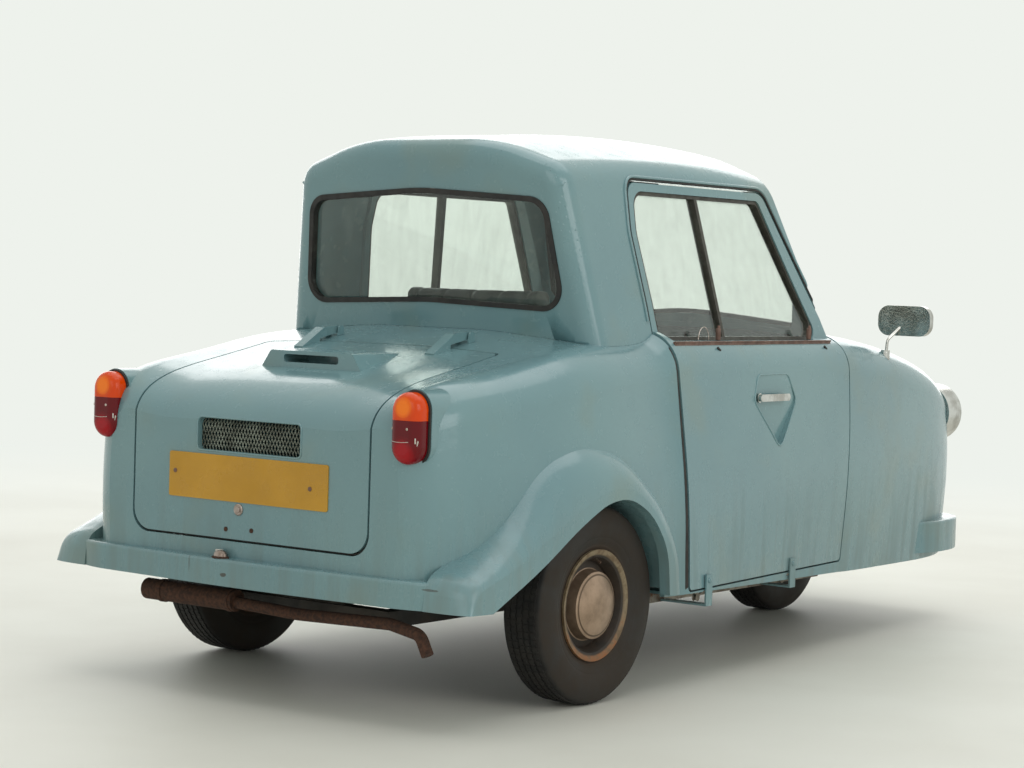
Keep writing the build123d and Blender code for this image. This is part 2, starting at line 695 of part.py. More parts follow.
def road_wheel(y, hub_low, hub_high, cap):
    """Wheel on the car's middle line, its road side towards +X: rim, disc, hub and cap."""
    bore = AXLE_RADIUS + RUNNING_CLEARANCE
    rim = [
        (-54, RIM_FLANGE_RADIUS), (-47, RIM_FLANGE_RADIUS), (-43, 127), (-15, 116), (15, 116),
        (43, 127), (47, RIM_FLANGE_RADIUS), (54, RIM_FLANGE_RADIUS), (52, 132), (46, 120),
        (20, 108), (-20, 108), (-46, 120), (-52, 132),
    ]
    disc = [(-4, bore), (-4, 60), (14, 84), (8, 112), (16, 113), (24, 84), (8, 58), (8, bore)]
    hub = [(hub_low, bore), (hub_high, bore), (hub_high, 44), (hub_low, 44)]
    with BuildPart() as solid:
        for ring in (rim, disc, hub):
            add(revolved_ring(ring))
        if cap:
            add(hub_cap())
    return Pos(0, y, TYRE_RADIUS) * solid.part


def tyre(y):
    """Tyre on the car's middle line."""
    half = TYRE_WIDTH / 2
    with BuildPart() as solid:
        with BuildSketch(Plane.XY):
            with BuildLine():
                outline = [
                    (-43.2, 129), (-46, 150), (-half, 178), (-half, 214), (-half + 10, TYRE_RADIUS),
                    (half - 10, TYRE_RADIUS), (half, 214), (half, 178), (46, 150), (43.2, 129),
                ]
                FilletPolyline(*outline, radius=[6, 30, 30, 16, 16, 30, 30, 6])
                cavity = [(30, 130), (34, 152), (50, 182), (50, 214), (40, 236),
                          (-40, 236), (-50, 214), (-50, 182), (-34, 152), (-30, 130)]
                Polyline(outline[-1], *cavity, outline[0])
            make_face()
        revolve(axis=Axis.X)
    return Pos(0, y, TYRE_RADIUS) * solid.part


FRONT_HUB_HALF = 60.0
for label, x, y, turn in (
    ("front", 0, FRONT_AXLE_Y, 0), ("rear_left", TRACK_HALF, REAR_AXLE_Y, 0),
    ("rear_right", -TRACK_HALF, REAR_AXLE_Y, 180),
):
    place = Pos(x, 0, 0) if turn == 0 else Pos(x, 0, 0) * Pos(0, y, 0) * Rot(0, 0, 180) * Pos(0, -y, 0)
    if label == "front":
        rim_solid = road_wheel(y, -FRONT_HUB_HALF, FRONT_HUB_HALF, False)
    else:
        rim_solid = road_wheel(y, -60, 32, True)
    with BuildPart() as wheel:
        add(place * rim_solid)
    finish(wheel, f"wheel_{label}")
    with BuildPart() as rubber:
        add(place * tyre(y))
    finish(rubber, f"tyre_{label}")

# Rear trailing arms with their pivot tubes, stub axles and spring units
ARM_X = 420.0
PIVOT_Y = 560.0
PIVOT_Z = 225.0
with BuildPart() as rear_arm_left:
    arm = side_prism(
        [(PIVOT_Y - 30, PIVOT_Z - 26), (REAR_AXLE_Y + 34, TYRE_RADIUS - 34),
         (REAR_AXLE_Y + 34, TYRE_RADIUS + 34), (PIVOT_Y - 30, PIVOT_Z + 18)],
        [12, 30, 30, 12], ARM_X - 18, ARM_X + 18)
    add(arm)
    with BuildSketch(side_plane(RAIL_X + RAIL_WIDTH / 2)):
        with Locations((PIVOT_Y, PIVOT_Z)):
            Circle(16)
    extrude(amount=ARM_X - RAIL_X - RAIL_WIDTH / 2)
    with BuildSketch(side_plane(ARM_X)):
        with Locations((REAR_AXLE_Y, TYRE_RADIUS)):
            Circle(AXLE_RADIUS)
    extrude(amount=TRACK_HALF + 28 - ARM_X)
    with BuildSketch(level_plane(TYRE_RADIUS)):
        with Locations((ARM_X, 740)):
            Circle(34)
    extrude(amount=220)
finish(rear_arm_left, "rear_arm_left")
with BuildPart() as rear_arm_right:
    mirror(rear_arm_left.part, about=Plane.YZ)
finish(rear_arm_right, "rear_arm_right")

# Engine as one plain block on the rear cross members
with BuildPart() as engine:
    add(body_block((-190, 970, FLOOR_BOTTOM), (190, 1290, 560)))
finish(engine, "engine")

# Exhaust: silencer behind the engine and a tail pipe turned down under the right of the bumper
EXHAUST_Y, EXHAUST_Z = 1385.0, 236.0
PIPE_RADIUS = 15.0
SILENCER_RADIUS = 27.0
with BuildPart() as exhaust:
    with BuildLine() as pipe_route:
        FilletPolyline(
            (200, EXHAUST_Y, EXHAUST_Z), (-120, EXHAUST_Y, EXHAUST_Z - 12), (-430, EXHAUST_Y + 18, EXHAUST_Z),
            (-530, EXHAUST_Y + 30, 222), (-556, EXHAUST_Y + 34, 178), radius=[400, 90, 34])
    with BuildSketch(Plane(origin=pipe_route.line @ 0, z_dir=pipe_route.line % 0)):
        Circle(PIPE_RADIUS)
    sweep()
    with BuildSketch(side_plane(80)):
        with Locations((EXHAUST_Y, EXHAUST_Z)):
            Circle(SILENCER_RADIUS)
    extrude(amount=310)
    add(body_block((190, 1300, 222), (220, EXHAUST_Y - 10, 228)))
    add(body_block((190, 1300, 208), (220, 1304, 244)))
finish(exhaust, "exhaust")

# Tail lamps on pads at the ends of the rear wings


tail_seat = hull(TAIL_ROWS, -SEAT_GAP)
with BuildPart() as lens:
    add(lamp_prism(0, 1380, 1462))
    fillet(lens.faces().sort_by(Axis.Y)[-1].edges(), 24)
    add(body_block((400, 1300, 500), (600, LAMP_PAD_Y + 6, 900)), mode=Mode.SUBTRACT)
    add(tail_seat, mode=Mode.SUBTRACT)
with BuildPart() as lamp_gasket:
    add(lamp_prism(5, LAMP_PAD_Y + SEAT_GAP, LAMP_PAD_Y + 5.7))
    add(tail_seat, mode=Mode.SUBTRACT)
for label, piece in (("lamp_gaskets", lamp_gasket.part),):
    with BuildPart() as gaskets:
        add(both_sides(piece))
    finish(gaskets, label)
for label, low_z, high_z in (("amber_lenses", LAMP_SPLIT_Z, 900), ("red_lenses", 500, LAMP_SPLIT_Z - SEAT_GAP)):
    with BuildPart() as half_lens:
        add(lens.part)
        add(body_block((400, 1300, low_z), (600, 1500, high_z)), mode=Mode.INTERSECT)
    with BuildPart() as lenses:
        add(both_sides(half_lens.part))
    finish(lenses, label)

# Headlamps
nose_seat = hull(NOSE_ROWS, -SEAT_GAP)


with BuildPart() as lamp_seat:
    add(nose_seat)
    add(headlamp_disc(HEADLAMP_RADIUS + 1, -1500, HEADLAMP_SEAT_Y), mode=Mode.SUBTRACT)
with BuildPart() as bezel:
    add(headlamp_disc(HEADLAMP_RADIUS, HEADLAMP_Y, -1330))
    add(lamp_seat.part, mode=Mode.SUBTRACT)
    add(headlamp_disc(HEADLAMP_RADIUS - 10, HEADLAMP_Y - 5, HEADLAMP_Y + 12), mode=Mode.SUBTRACT)
with BuildPart() as headlamp_rims:
    add(both_sides(bezel.part.solids().sort_by(Axis.Y)[0]))
finish(headlamp_rims, "headlamp_rims")
with BuildPart() as front_glass:
    add(headlamp_disc(HEADLAMP_RADIUS - 10 - SEAT_GAP, HEADLAMP_Y - 8, HEADLAMP_Y + 11.7))
    fillet(front_glass.faces().sort_by(Axis.Y)[0].edges(), 14)
with BuildPart() as headlamp_glass:
    add(both_sides(front_glass.part))
finish(headlamp_glass, "headlamp_glass")

# Blank number plate on the lid
PLATE_WIDTH, PLATE_HEIGHT, PLATE_Z = 524.0, 112.0, 545.0
with BuildPart() as number_plate:
    with BuildSketch(section_plane(TAIL_Y + 3)):
        with Locations((0, PLATE_Z)):
            RectangleRounded(PLATE_WIDTH, PLATE_HEIGHT, 6)
    extrude(amount=3)
finish(number_plate, "number_plate")

# Seat, dash shelf and tiller
SEAT_X = 40.0
with BuildPart() as seat_frame:
    add(body_block((SEAT_X - 200, 60, FLOOR_TOP), (SEAT_X + 200, 400, 340)))
finish(seat_frame, "seat_frame")
with BuildPart() as seat_cushion:
    add(body_block((SEAT_X - 235, 10, 340 + SEAT_GAP), (SEAT_X + 235, 430, 450)))
    fillet(seat_cushion.edges(), 24)
finish(seat_cushion, "seat_cushion")
with BuildPart() as seat_back:
    back = side_prism([(380, 450.3), (470, 450.3), (540, 1045), (460, 1045)], [20, 20, 30, 30], SEAT_X - 235, SEAT_X + 235)
    add(back)
finish(seat_back, "seat_back")
with BuildPart() as dash:
    add(body_block((-480, TOE_BOARD_Y, TOE_BOARD_TOP), (480, -500, TOE_BOARD_TOP + 12)))
    add(body_block((-480, -520, TOE_BOARD_TOP), (480, -500, 870)))
finish(dash, "dash")

TILLER_FOOT = (SEAT_X, -640.0, FLOOR_TOP)
TILLER_HEAD = (SEAT_X, -290.0, 760.0)
tiller_axis = (Vector(*TILLER_HEAD) - Vector(*TILLER_FOOT)).normalized()
with BuildPart() as tiller_bracket:
    with BuildSketch(Plane(origin=TILLER_FOOT, z_dir=tiller_axis)):
        Circle(26)
        Circle(12 + RUNNING_CLEARANCE, mode=Mode.SUBTRACT)
    extrude(amount=120, both=True)
    add(body_block((-200, -900, 0), (300, -400, FLOOR_TOP)), mode=Mode.SUBTRACT)
finish(tiller_bracket, "tiller_bracket")
with BuildPart() as tiller:
    with BuildSketch(Plane(origin=Vector(*TILLER_FOOT) + tiller_axis * 30, z_dir=tiller_axis)):
        Circle(12)
    extrude(amount=(Vector(*TILLER_HEAD) - Vector(*TILLER_FOOT)).length - 30)
    with BuildSketch(side_plane(SEAT_X - 170)):
        with Locations((TILLER_HEAD[1], TILLER_HEAD[2])):
            Circle(13)
    extrude(amount=340)
finish(tiller, "tiller")

# Door handles, straps and the rails under the sills
with BuildPart() as left_handle:
    with BuildSketch(side_plane(RECESS_FLOOR_X)):
        with Locations((HANDLE_Y, HANDLE_Z)):
            Circle(13)
    extrude(amount=14)
    with BuildSketch(side_plane(RECESS_FLOOR_X + 12)):
        with Locations((HANDLE_Y + 12 - HANDLE_LENGTH / 2, HANDLE_Z)):
            SlotOverall(HANDLE_LENGTH, 20)
    extrude(amount=12)
with BuildPart() as door_handles:
    add(both_sides(left_handle.part))
finish(door_handles, "door_handles")

RAIL_BAR = ((498, -470, 207), (518, 440, FLOOR_BOTTOM))
with BuildPart() as door_rails:
    add(both_sides(body_block(*RAIL_BAR)))
finish(door_rails, "door_rails")
with BuildPart() as door_straps:
    for y, face_x in ((362, 655.5), (-160, 606.5)):
        add(both_sides(body_block((face_x, y - 15, 209), (face_x + 5, y + 15, 292))))
        add(both_sides(body_block((RAIL_BAR[1][0], y - 15, 209), (face_x + 5, y + 15, 214))))
finish(door_straps, "door_straps")

# Mirrors on the front wings
with BuildPart() as left_mirror:
    with BuildLine() as stalk:
        FilletPolyline((529, -817, 830), (532, -822, 905), (560, -862, 950), radius=20)
    with BuildSketch(Plane(origin=stalk.line @ 0, z_dir=stalk.line % 0)):
        Circle(5)
    sweep()
    with BuildSketch(level_plane(840)):
        with Locations((529, -817)):
            Circle(14)
    extrude(amount=34)
    with BuildSketch(section_plane(-852)):
        with Locations((570, 964)):
            RectangleRounded(176, 92, 36)
    extrude(amount=22)
    add(nose_seat, mode=Mode.SUBTRACT)
with BuildPart() as mirrors:
    add(both_sides(left_mirror.part.solids().sort_by(Axis.Z)[-1]))
finish(mirrors, "mirrors")
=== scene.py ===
"""Looks of the small three wheeled car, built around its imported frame."""
import json
import math
from contextlib import contextmanager

import bmesh
import bpy
from mathutils import Matrix, Vector
from mathutils.bvhtree import BVHTree
from mathutils.kdtree import KDTree


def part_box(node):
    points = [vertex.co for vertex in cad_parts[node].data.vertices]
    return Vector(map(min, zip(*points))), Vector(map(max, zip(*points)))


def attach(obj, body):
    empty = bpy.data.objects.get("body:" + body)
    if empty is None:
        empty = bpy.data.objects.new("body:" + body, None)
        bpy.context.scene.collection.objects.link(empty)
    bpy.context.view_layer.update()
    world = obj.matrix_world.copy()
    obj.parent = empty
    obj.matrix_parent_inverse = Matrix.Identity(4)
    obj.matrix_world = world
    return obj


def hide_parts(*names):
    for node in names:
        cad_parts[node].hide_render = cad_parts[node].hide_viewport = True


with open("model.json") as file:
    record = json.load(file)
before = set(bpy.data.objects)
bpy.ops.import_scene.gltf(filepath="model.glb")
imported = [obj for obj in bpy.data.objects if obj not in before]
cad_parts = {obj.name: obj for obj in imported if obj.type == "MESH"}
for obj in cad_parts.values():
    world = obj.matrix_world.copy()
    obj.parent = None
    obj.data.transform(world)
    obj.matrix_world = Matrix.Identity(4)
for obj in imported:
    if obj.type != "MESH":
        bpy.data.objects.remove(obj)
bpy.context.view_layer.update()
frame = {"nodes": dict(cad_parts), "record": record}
nodes = frame["nodes"]

# Camera solved from the photograph: place, turn, nose down, roll, focal length on a 36 mm sensor
CAMERA_PLACE = (-4.0213, 5.7884, 1.0646)
CAMERA_YAW = 0.639
CAMERA_PITCH = -0.0448
CAMERA_ROLL = 0.0317
CAMERA_LENS = 85.03
CAMERA_SENSOR = 36.0

# Engine lid, metres: half width, front and bottom edges, corners, and where it bends from deck to tail
LID_HALF, LID_FRONT_Y, LID_BOTTOM_Z = 0.388, 0.950, 0.394
LID_CORNER, LID_PLAN_CORNER = 0.055, 0.024
LID_BEND_Y, LID_BEND_Z, LID_BEND_INSIDE = 1.300, 0.600, 0.1
# Faces at the tail and the middle of a tail lamp
TAIL_Y, PLATE_FACE_Y, LAMP_X = 1.446, 1.449, 0.495
# Gap round a door: corners (y, z) and their radii
DOOR_GAP_CORNERS = (
    (-0.5005, 0.2555), (0.4605, 0.2555), (0.4605, 0.900), (0.4745, 1.005), (0.5085, 1.190),
    (0.5025, 1.3225), (-0.1925, 1.3225), (-0.5005, 0.888),
)
DOOR_GAP_RADII = (0.012, 0.012, 0.2, 0.15, 0.12, 0.036, 0.06, 0.04)
# Where rays start, beside and behind the car
BESIDE_X, BEHIND_Y = 1.2, 1.6
# Recess behind a door handle: corners (y, z), their radius and the recess's middle
RECESS_CORNERS = ((0.072, 0.740), (0.044, 0.812), (-0.124, 0.812), (-0.166, 0.740), (-0.062, 0.606))
RECESS_RADIUS, RECESS_MIDDLE = 0.026, (-0.048, 0.735)
# Opening in the lid: half width, bottom, top, corner radius
OPENING_HALF, OPENING_LOW_Z, OPENING_HIGH_Z, OPENING_RADIUS = 0.1715, 0.6095, 0.6925, 0.014
# Rounding of the roof's rear edge: its radius, and how far under the two faces the inner skin starts
ROOF_ROUND, ROOF_SKIN = 0.055, 0.010
# Outer faces (y, x) of the straps under each door
STRAP_FACES = ((0.362, 0.6605), (-0.160, 0.6115))
# Each wheel: name, body, centre, and the side its valve is on
WHEELS = (
    ("rear_left", "rear_left_wheel", (0.5725, 0.837, 0.250), 1),
    ("rear_right", "rear_right_wheel", (-0.5725, 0.837, 0.250), -1),
    ("front", "front_wheel", (0.0, -1.071, 0.250), 1),
)
# Half outline of a tyre's wall and tread as (away from the middle, radius), and the middles of its ribs
TYRE_WALL = (
    (0.0432, 0.1290), (0.0452, 0.1380), (0.0470, 0.1440), (0.0492, 0.1480), (0.0494, 0.1515),
    (0.0525, 0.1590), (0.0562, 0.1680), (0.0566, 0.1705), (0.0594, 0.1760), (0.0616, 0.1860),
    (0.0626, 0.1980), (0.0622, 0.2100), (0.0606, 0.2200), (0.0588, 0.2280), (0.0566, 0.2350),
    (0.0540, 0.2410), (0.0500, 0.2450),
)
TREAD_BASE = ((0.0400, 0.2462), (0.0200, 0.2470), (0.0, 0.2472))
TREAD_RIBS = ((0.0, 0.2496), (0.0185, 0.2494), (-0.0185, 0.2494), (0.0365, 0.2486), (-0.0365, 0.2486))
TREAD_STEPS = 84

# The car's left side and its right side
SIDES = (1, -1)
ORIGIN, X_AXIS, Y_AXIS, Z_AXIS = (0, 0, 0), (1, 0, 0), (0, 1, 0), (0, 0, 1)
# Edges sharper than this many degrees stay hard, and points nearer than this many metres are merged
SHARP_ANGLE, MERGE_DISTANCE = 38, 1e-6


def held(name, data):
    """Object in the scene for some data."""
    obj = bpy.data.objects.new(name, data)
    bpy.context.scene.collection.objects.link(obj)
    return obj


def make_camera():
    """Camera at the photograph's place and angle."""
    forward = Vector((
        math.sin(CAMERA_YAW) * math.cos(CAMERA_PITCH),
        -math.cos(CAMERA_YAW) * math.cos(CAMERA_PITCH),
        math.sin(CAMERA_PITCH),
    ))
    level_right = forward.cross(Vector(Z_AXIS)).normalized()
    level_up = level_right.cross(forward)
    cos_roll, sin_roll = math.cos(CAMERA_ROLL), math.sin(CAMERA_ROLL)
    right = cos_roll * level_right + sin_roll * level_up
    up = -sin_roll * level_right + cos_roll * level_up
    turn = Matrix((right, up, -forward)).transposed()
    data = bpy.data.cameras.new("camera")
    data.lens = CAMERA_LENS
    data.sensor_width = CAMERA_SENSOR
    data.clip_end = 100.0
    camera = held("camera", data)
    camera.matrix_world = Matrix.Translation(CAMERA_PLACE) @ turn.to_4x4()
    bpy.context.scene.camera = camera


class Tree:
    """A node tree that is filled by name: nodes by type, sockets by their name or number."""

    def __init__(self, tree):
        self.tree = tree
        self.tree.nodes.clear()

    def add(self, kind, values=None, **settings):
        """New node with its settings and the values or links of its inputs."""
        node = self.tree.nodes.new(kind)
        for key, value in settings.items():
            setattr(node, key, value)
        for key, value in (values or {}).items():
            self.put(node.inputs[key], value)
        return node

    def put(self, socket, value):
        """Link an output to the socket, or set its value."""
        if isinstance(value, bpy.types.NodeSocket):
            self.tree.links.new(value, socket)
        elif isinstance(value, bpy.types.Node):
            self.tree.links.new(value.outputs[0], socket)
        else:
            socket.default_value = value


def rgba(colour):
    """A linked colour as it is, or a plain one with full cover."""
    return colour if isinstance(colour, bpy.types.NodeSocket) else (*colour, 1.0)


def srgb(red, green, blue):
    """Linear colour from display values of 0 to 255."""
    return tuple(
        (v / 255 / 12.92) if v <= 10 else ((v / 255 + 0.055) / 1.055) ** 2.4 for v in (red, green, blue)
    )


def new_material(name):
    """Empty node material and its tree."""
    material = bpy.data.materials.new(name)
    material.use_nodes = True
    return material, Tree(material.node_tree)


def noise(tree, where, scale, detail=4.0, roughness=0.55):
    """Noise value on a place."""
    return tree.add(
        "ShaderNodeTexNoise",
        {"Vector": where, "Scale": scale, "Detail": detail, "Roughness": roughness},
    ).outputs["Fac"]


def ramp(tree, value, low, high, to_low=0.0, to_high=1.0):
    """Value mapped from one range to another, held at its ends and eased."""
    return tree.add(
        "ShaderNodeMapRange",
        {"Value": value, "From Min": low, "From Max": high, "To Min": to_low, "To Max": to_high},
        interpolation_type="SMOOTHSTEP",
    ).outputs["Result"]


def math_node(tree, operation, *values):
    """Result of a maths node."""
    return tree.add("ShaderNodeMath", dict(enumerate(values)), operation=operation).outputs[0]


def mix(tree, share, first, second):
    """Two colours mixed by a share."""
    return tree.add(
        "ShaderNodeMix", {"Factor": share, 6: rgba(first), 7: rgba(second)}, data_type="RGBA").outputs[2]


def blend(tree, value, low, high, first, second):
    """The first colour where the value is low, the second where it is high."""
    return mix(tree, ramp(tree, value, low, high), first, second)


def object_place(tree):
    """Object coordinates."""
    return tree.add("ShaderNodeTexCoord").outputs["Object"]


def along_axis(tree, place, axis):
    """How far a place lies along X, Y or Z."""
    return tree.add("ShaderNodeSeparateXYZ", {"Vector": place}).outputs[axis]


def stretched(tree, place, scale):
    """Place stretched by a scale on each axis."""
    return tree.add("ShaderNodeMapping", {"Vector": place, "Scale": scale}).outputs[0]


def distance_to(tree, place, centre, scale=(1, 1, 1)):
    """Distance from a centre, with each axis weighted."""
    moved = tree.add("ShaderNodeVectorMath", {0: place, 1: centre}, operation="SUBTRACT")
    weighted = tree.add("ShaderNodeVectorMath", {0: moved, 1: scale}, operation="MULTIPLY")
    return tree.add("ShaderNodeVectorMath", {0: weighted}, operation="LENGTH").outputs["Value"]


def finish_surface(tree, colour, roughness, bump, bump_distance, bump_strength, **sockets):
    """Principled surface with a bump on the material's output. Other sockets go by their names."""
    shader = tree.add("ShaderNodeBsdfPrincipled", {"Base Color": rgba(colour), "Roughness": roughness})
    for key, value in sockets.items():
        tree.put(shader.inputs[key.replace("_", " ")], value)
    height = tree.add(
        "ShaderNodeBump", {"Height": bump, "Distance": bump_distance, "Strength": bump_strength})
    tree.put(shader.inputs["Normal"], height)
    tree.add("ShaderNodeOutputMaterial", {"Surface": shader})


PAINT, PAINT_SUNNED, PAINT_FADED = srgb(112, 147, 153), srgb(120, 154, 158), srgb(128, 146, 136)
ROAD_DUST, CHIPPED, SCRAPED = srgb(112, 108, 92), srgb(92, 86, 78), srgb(62, 58, 50)
# Marks on the rear bumper step: place, size on each axis and strength
BUMPER_MARKS = (
    ((0.040, 1.484, 0.312), (0.011, 0.02, 0.006), 0.9),
    ((0.158, 1.478, 0.330), (0.0016, 0.02, 0.024), 0.7),
    ((-0.612, 1.385, 0.322), (0.020, 0.03, 0.0035), 0.9),
    ((-0.628, 1.330, 0.300), (0.004, 0.03, 0.016), 0.8),
    ((-0.575, 1.440, 0.334), (0.022, 0.02, 0.003), 0.7),
)


def paint_colour(tree, place):
    """The old paint's colour, the share of dust on it and its fine noise."""
    colour = blend(tree, noise(tree, place, 1.6, 3.0), 0.35, 0.65, PAINT, PAINT_SUNNED)
    faded = ramp(tree, noise(tree, place, 4.2, 3.0), 0.5, 0.72, 0.0, 0.4)
    colour = mix(tree, faded, colour, PAINT_FADED)
    streaks = noise(tree, stretched(tree, place, (26.0, 26.0, 1.6)), 1.0, 4.0)
    low_down = ramp(tree, along_axis(tree, place, "Z"), 0.62, 0.24)
    dust = math_node(tree, "MULTIPLY", low_down, ramp(tree, streaks, 0.36, 0.72))
    colour = mix(tree, math_node(tree, "MULTIPLY", dust, 0.3), colour, ROAD_DUST)
    fine = noise(tree, place, 26.0, 5.0)
    chips = ramp(tree, noise(tree, place, 90.0, 2.0), 0.77, 0.80)
    chips = math_node(tree, "MULTIPLY", chips, ramp(tree, fine, 0.52, 0.62))
    colour = mix(tree, chips, colour, CHIPPED)
    ragged = noise(tree, place, 60.0, 3.0)
    for centre, size, strength in BUMPER_MARKS:
        reach = distance_to(tree, place, centre, tuple(1 / v for v in size))
        mark = ramp(tree, math_node(tree, "ADD", reach, ragged), 1.55, 1.25, 0.0, strength)
        colour = mix(tree, mark, colour, SCRAPED)
    return colour, dust, fine


def body_paint():
    """Pale blue gloss on moulded plastic, with dust, rain streaks and small chips."""
    material, tree = new_material("body_paint")
    place = object_place(tree)
    colour, dust, fine = paint_colour(tree, place)
    roughness = ramp(tree, math_node(tree, "ADD", fine, dust), 0.3, 1.2, 0.2, 0.46)
    finish_surface(
        tree, colour, roughness, noise(tree, place, 9.0, 3.0), bump_distance=0.0012, bump_strength=0.16,
        Coat_Weight=0.35, Coat_Roughness=0.08)
    return material


def floor_finish():
    """Dark floor and bulkhead whose skirts outside the sills wear the body's paint."""
    material, tree = new_material("floor_and_skirts")
    place = object_place(tree)
    painted = paint_colour(tree, place)[0]
    outside = ramp(tree, math_node(tree, "ABSOLUTE", along_axis(tree, place, "X")), 0.524, 0.530)
    dark = blend(tree, noise(tree, place, 6.0), 0.35, 0.65, srgb(46, 46, 44), srgb(64, 58, 50))
    finish_surface(
        tree, mix(tree, outside, dark, painted), ramp(tree, outside, 0.0, 1.0, 0.7, 0.34),
        noise(tree, place, 30.0, 4.0), bump_distance=0.001, bump_strength=0.2)
    return material


def plain_finish(name, colour, second, scale, roughness, metallic=0.0):
    """Finish with broad and fine colour variation, uneven gloss and a fine grain."""
    material, tree = new_material(name)
    place = object_place(tree)
    shade = blend(tree, noise(tree, place, scale, 5.0, 0.62), 0.34, 0.66, srgb(*colour), srgb(*second))
    rough = ramp(tree, noise(tree, place, scale * 3.1, 4.0), 0.3, 0.7, *roughness)
    finish_surface(
        tree, shade, rough, noise(tree, place, 60.0, 4.0), bump_distance=0.0015, bump_strength=0.25,
        Metallic=metallic)
    return material


def rusted(name, colour, second, rust_share, roughness, metallic, rust_and_shade_browns=((72, 44, 30), (112, 70, 44))):
    """Steel whose surface is partly covered by rust."""
    material, tree = new_material(name)
    place = object_place(tree)
    shade = blend(tree, noise(tree, place, 22.0, 5.0), 0.35, 0.65, srgb(*colour), srgb(*second))
    spread = noise(tree, place, 14.0, 8.0, 0.7)
    rust = ramp(tree, spread, 0.72 - rust_share * 0.5, 0.80 - rust_share * 0.5)
    # Rust colour from the given browns, which can carry painted shade
    brown = blend(tree, noise(tree, place, 120.0, 5.0), 0.3, 0.7, srgb(*rust_and_shade_browns[0]), srgb(*rust_and_shade_browns[1]))
    pitted = math_node(tree, "ADD", spread, noise(tree, place, 180.0, 3.0))
    finish_surface(
        tree, mix(tree, rust, shade, brown), ramp(tree, rust, 0.0, 1.0, roughness, 0.9), pitted,
        bump_distance=0.0012, bump_strength=0.5, Metallic=ramp(tree, rust, 0.0, 1.0, metallic, 0.0))
    return material


def glass_finish(name, film_low, film_high, tint):
    """Clear window glass with a thin film of dust in patches and runs."""
    material, tree = new_material(name)
    place = object_place(tree)
    patches = noise(tree, place, 6.0, 6.0, 0.7)
    runs = noise(tree, stretched(tree, place, (30.0, 30.0, 2.0)), 1.0, 3.0)
    film = ramp(tree, math_node(tree, "ADD", patches, runs), 0.85, 1.35, film_low, film_high)
    clear = tree.add("ShaderNodeBsdfTransparent", {"Color": rgba(tint)})
    gloss = tree.add("ShaderNodeBsdfGlossy", {"Color": (1, 1, 1, 1), "Roughness": 0.02})
    dusty = tree.add("ShaderNodeBsdfDiffuse", {"Color": rgba(srgb(196, 202, 190))})
    slant = tree.add("ShaderNodeLayerWeight", {"Blend": 0.5}).outputs["Facing"]
    share = math_node(tree, "MULTIPLY_ADD", math_node(tree, "POWER", slant, 3.0), 0.5, 0.025)
    shine = tree.add("ShaderNodeMixShader", {0: share, 1: clear, 2: gloss})
    whole = tree.add("ShaderNodeMixShader", {0: film, 1: shine, 2: dusty})
    tree.add("ShaderNodeOutputMaterial", {"Surface": whole})
    return material


def wheel_finish(name, centre):
    """Old wheel enamel by radius: pale worn flange, a dark brown dish painted with the shade of its recess,
    dusty bright cap with a thin line of painted shade in its groove.
    """
    cap_edge_low, cap_edge_high, cap_groove_shade = 0.0905, 0.0925, 0.0765
    flange_low, flange_high = 0.124, 0.129
    material, tree = new_material(name)
    place = object_place(tree)
    reach = distance_to(tree, place, centre, (0, 1, 1))
    blotch = noise(tree, place, 16.0, 6.0, 0.65)
    grime = noise(tree, place, 55.0, 4.0)
    cap = blend(tree, blotch, 0.3, 0.7, srgb(176, 150, 128), srgb(140, 118, 98))
    # Thin dark line round the cap: painted shade of its groove
    off_groove_shade = math_node(tree, "ABSOLUTE", math_node(tree, "SUBTRACT", reach, cap_groove_shade))
    cap = blend(tree, off_groove_shade, 0.003, 0.0012, cap, srgb(96, 78, 62))
    # Dark brown between cap and flange: painted shade of the recess
    shaded_dish = blend(tree, blotch, 0.35, 0.65, srgb(54, 42, 32), srgb(34, 28, 22))
    flange = blend(tree, grime, 0.35, 0.65, srgb(138, 122, 96), srgb(108, 88, 64))
    height = math_node(tree, "MULTIPLY", along_axis(tree, place, "Z"), 3.0)
    flange = blend(tree, math_node(tree, "ADD", height, grime), 1.15, 0.75, flange, srgb(138, 88, 50))
    beyond_cap = ramp(tree, reach, cap_edge_low, cap_edge_high)
    colour = mix(tree, beyond_cap, cap, shaded_dish)
    colour = blend(tree, reach, flange_low, flange_high, colour, flange)
    finish_surface(
        tree, colour, ramp(tree, beyond_cap, 0.0, 1.0, 0.34, 0.6), math_node(tree, "ADD", blotch, grime),
        bump_distance=0.0009, bump_strength=0.35, Metallic=ramp(tree, beyond_cap, 0.0, 1.0, 0.62, 0.05))
    return material


def tyre_finish(name, centre):
    """Rubber with dry brown dust on the wall and a scuffed tread."""
    material, tree = new_material(name)
    place = object_place(tree)
    reach = distance_to(tree, place, centre, (0, 1, 1))
    blotch = noise(tree, place, 9.0, 6.0, 0.65)
    wall = blend(tree, blotch, 0.3, 0.7, srgb(28, 24, 20), srgb(46, 37, 28))
    tread = blend(tree, noise(tree, place, 30.0, 4.0), 0.35, 0.65, srgb(23, 22, 21), srgb(38, 35, 32))
    colour = blend(tree, reach, 0.236, 0.246, wall, tread)
    bead = ramp(tree, reach, 0.158, 0.144, 0.0, 0.5)
    colour = mix(tree, bead, colour, srgb(62, 46, 32))
    finish_surface(
        tree, colour, ramp(tree, blotch, 0.3, 0.7, 0.62, 0.85), noise(tree, place, 240.0, 3.0),
        bump_distance=0.0006, bump_strength=0.3)
    return material


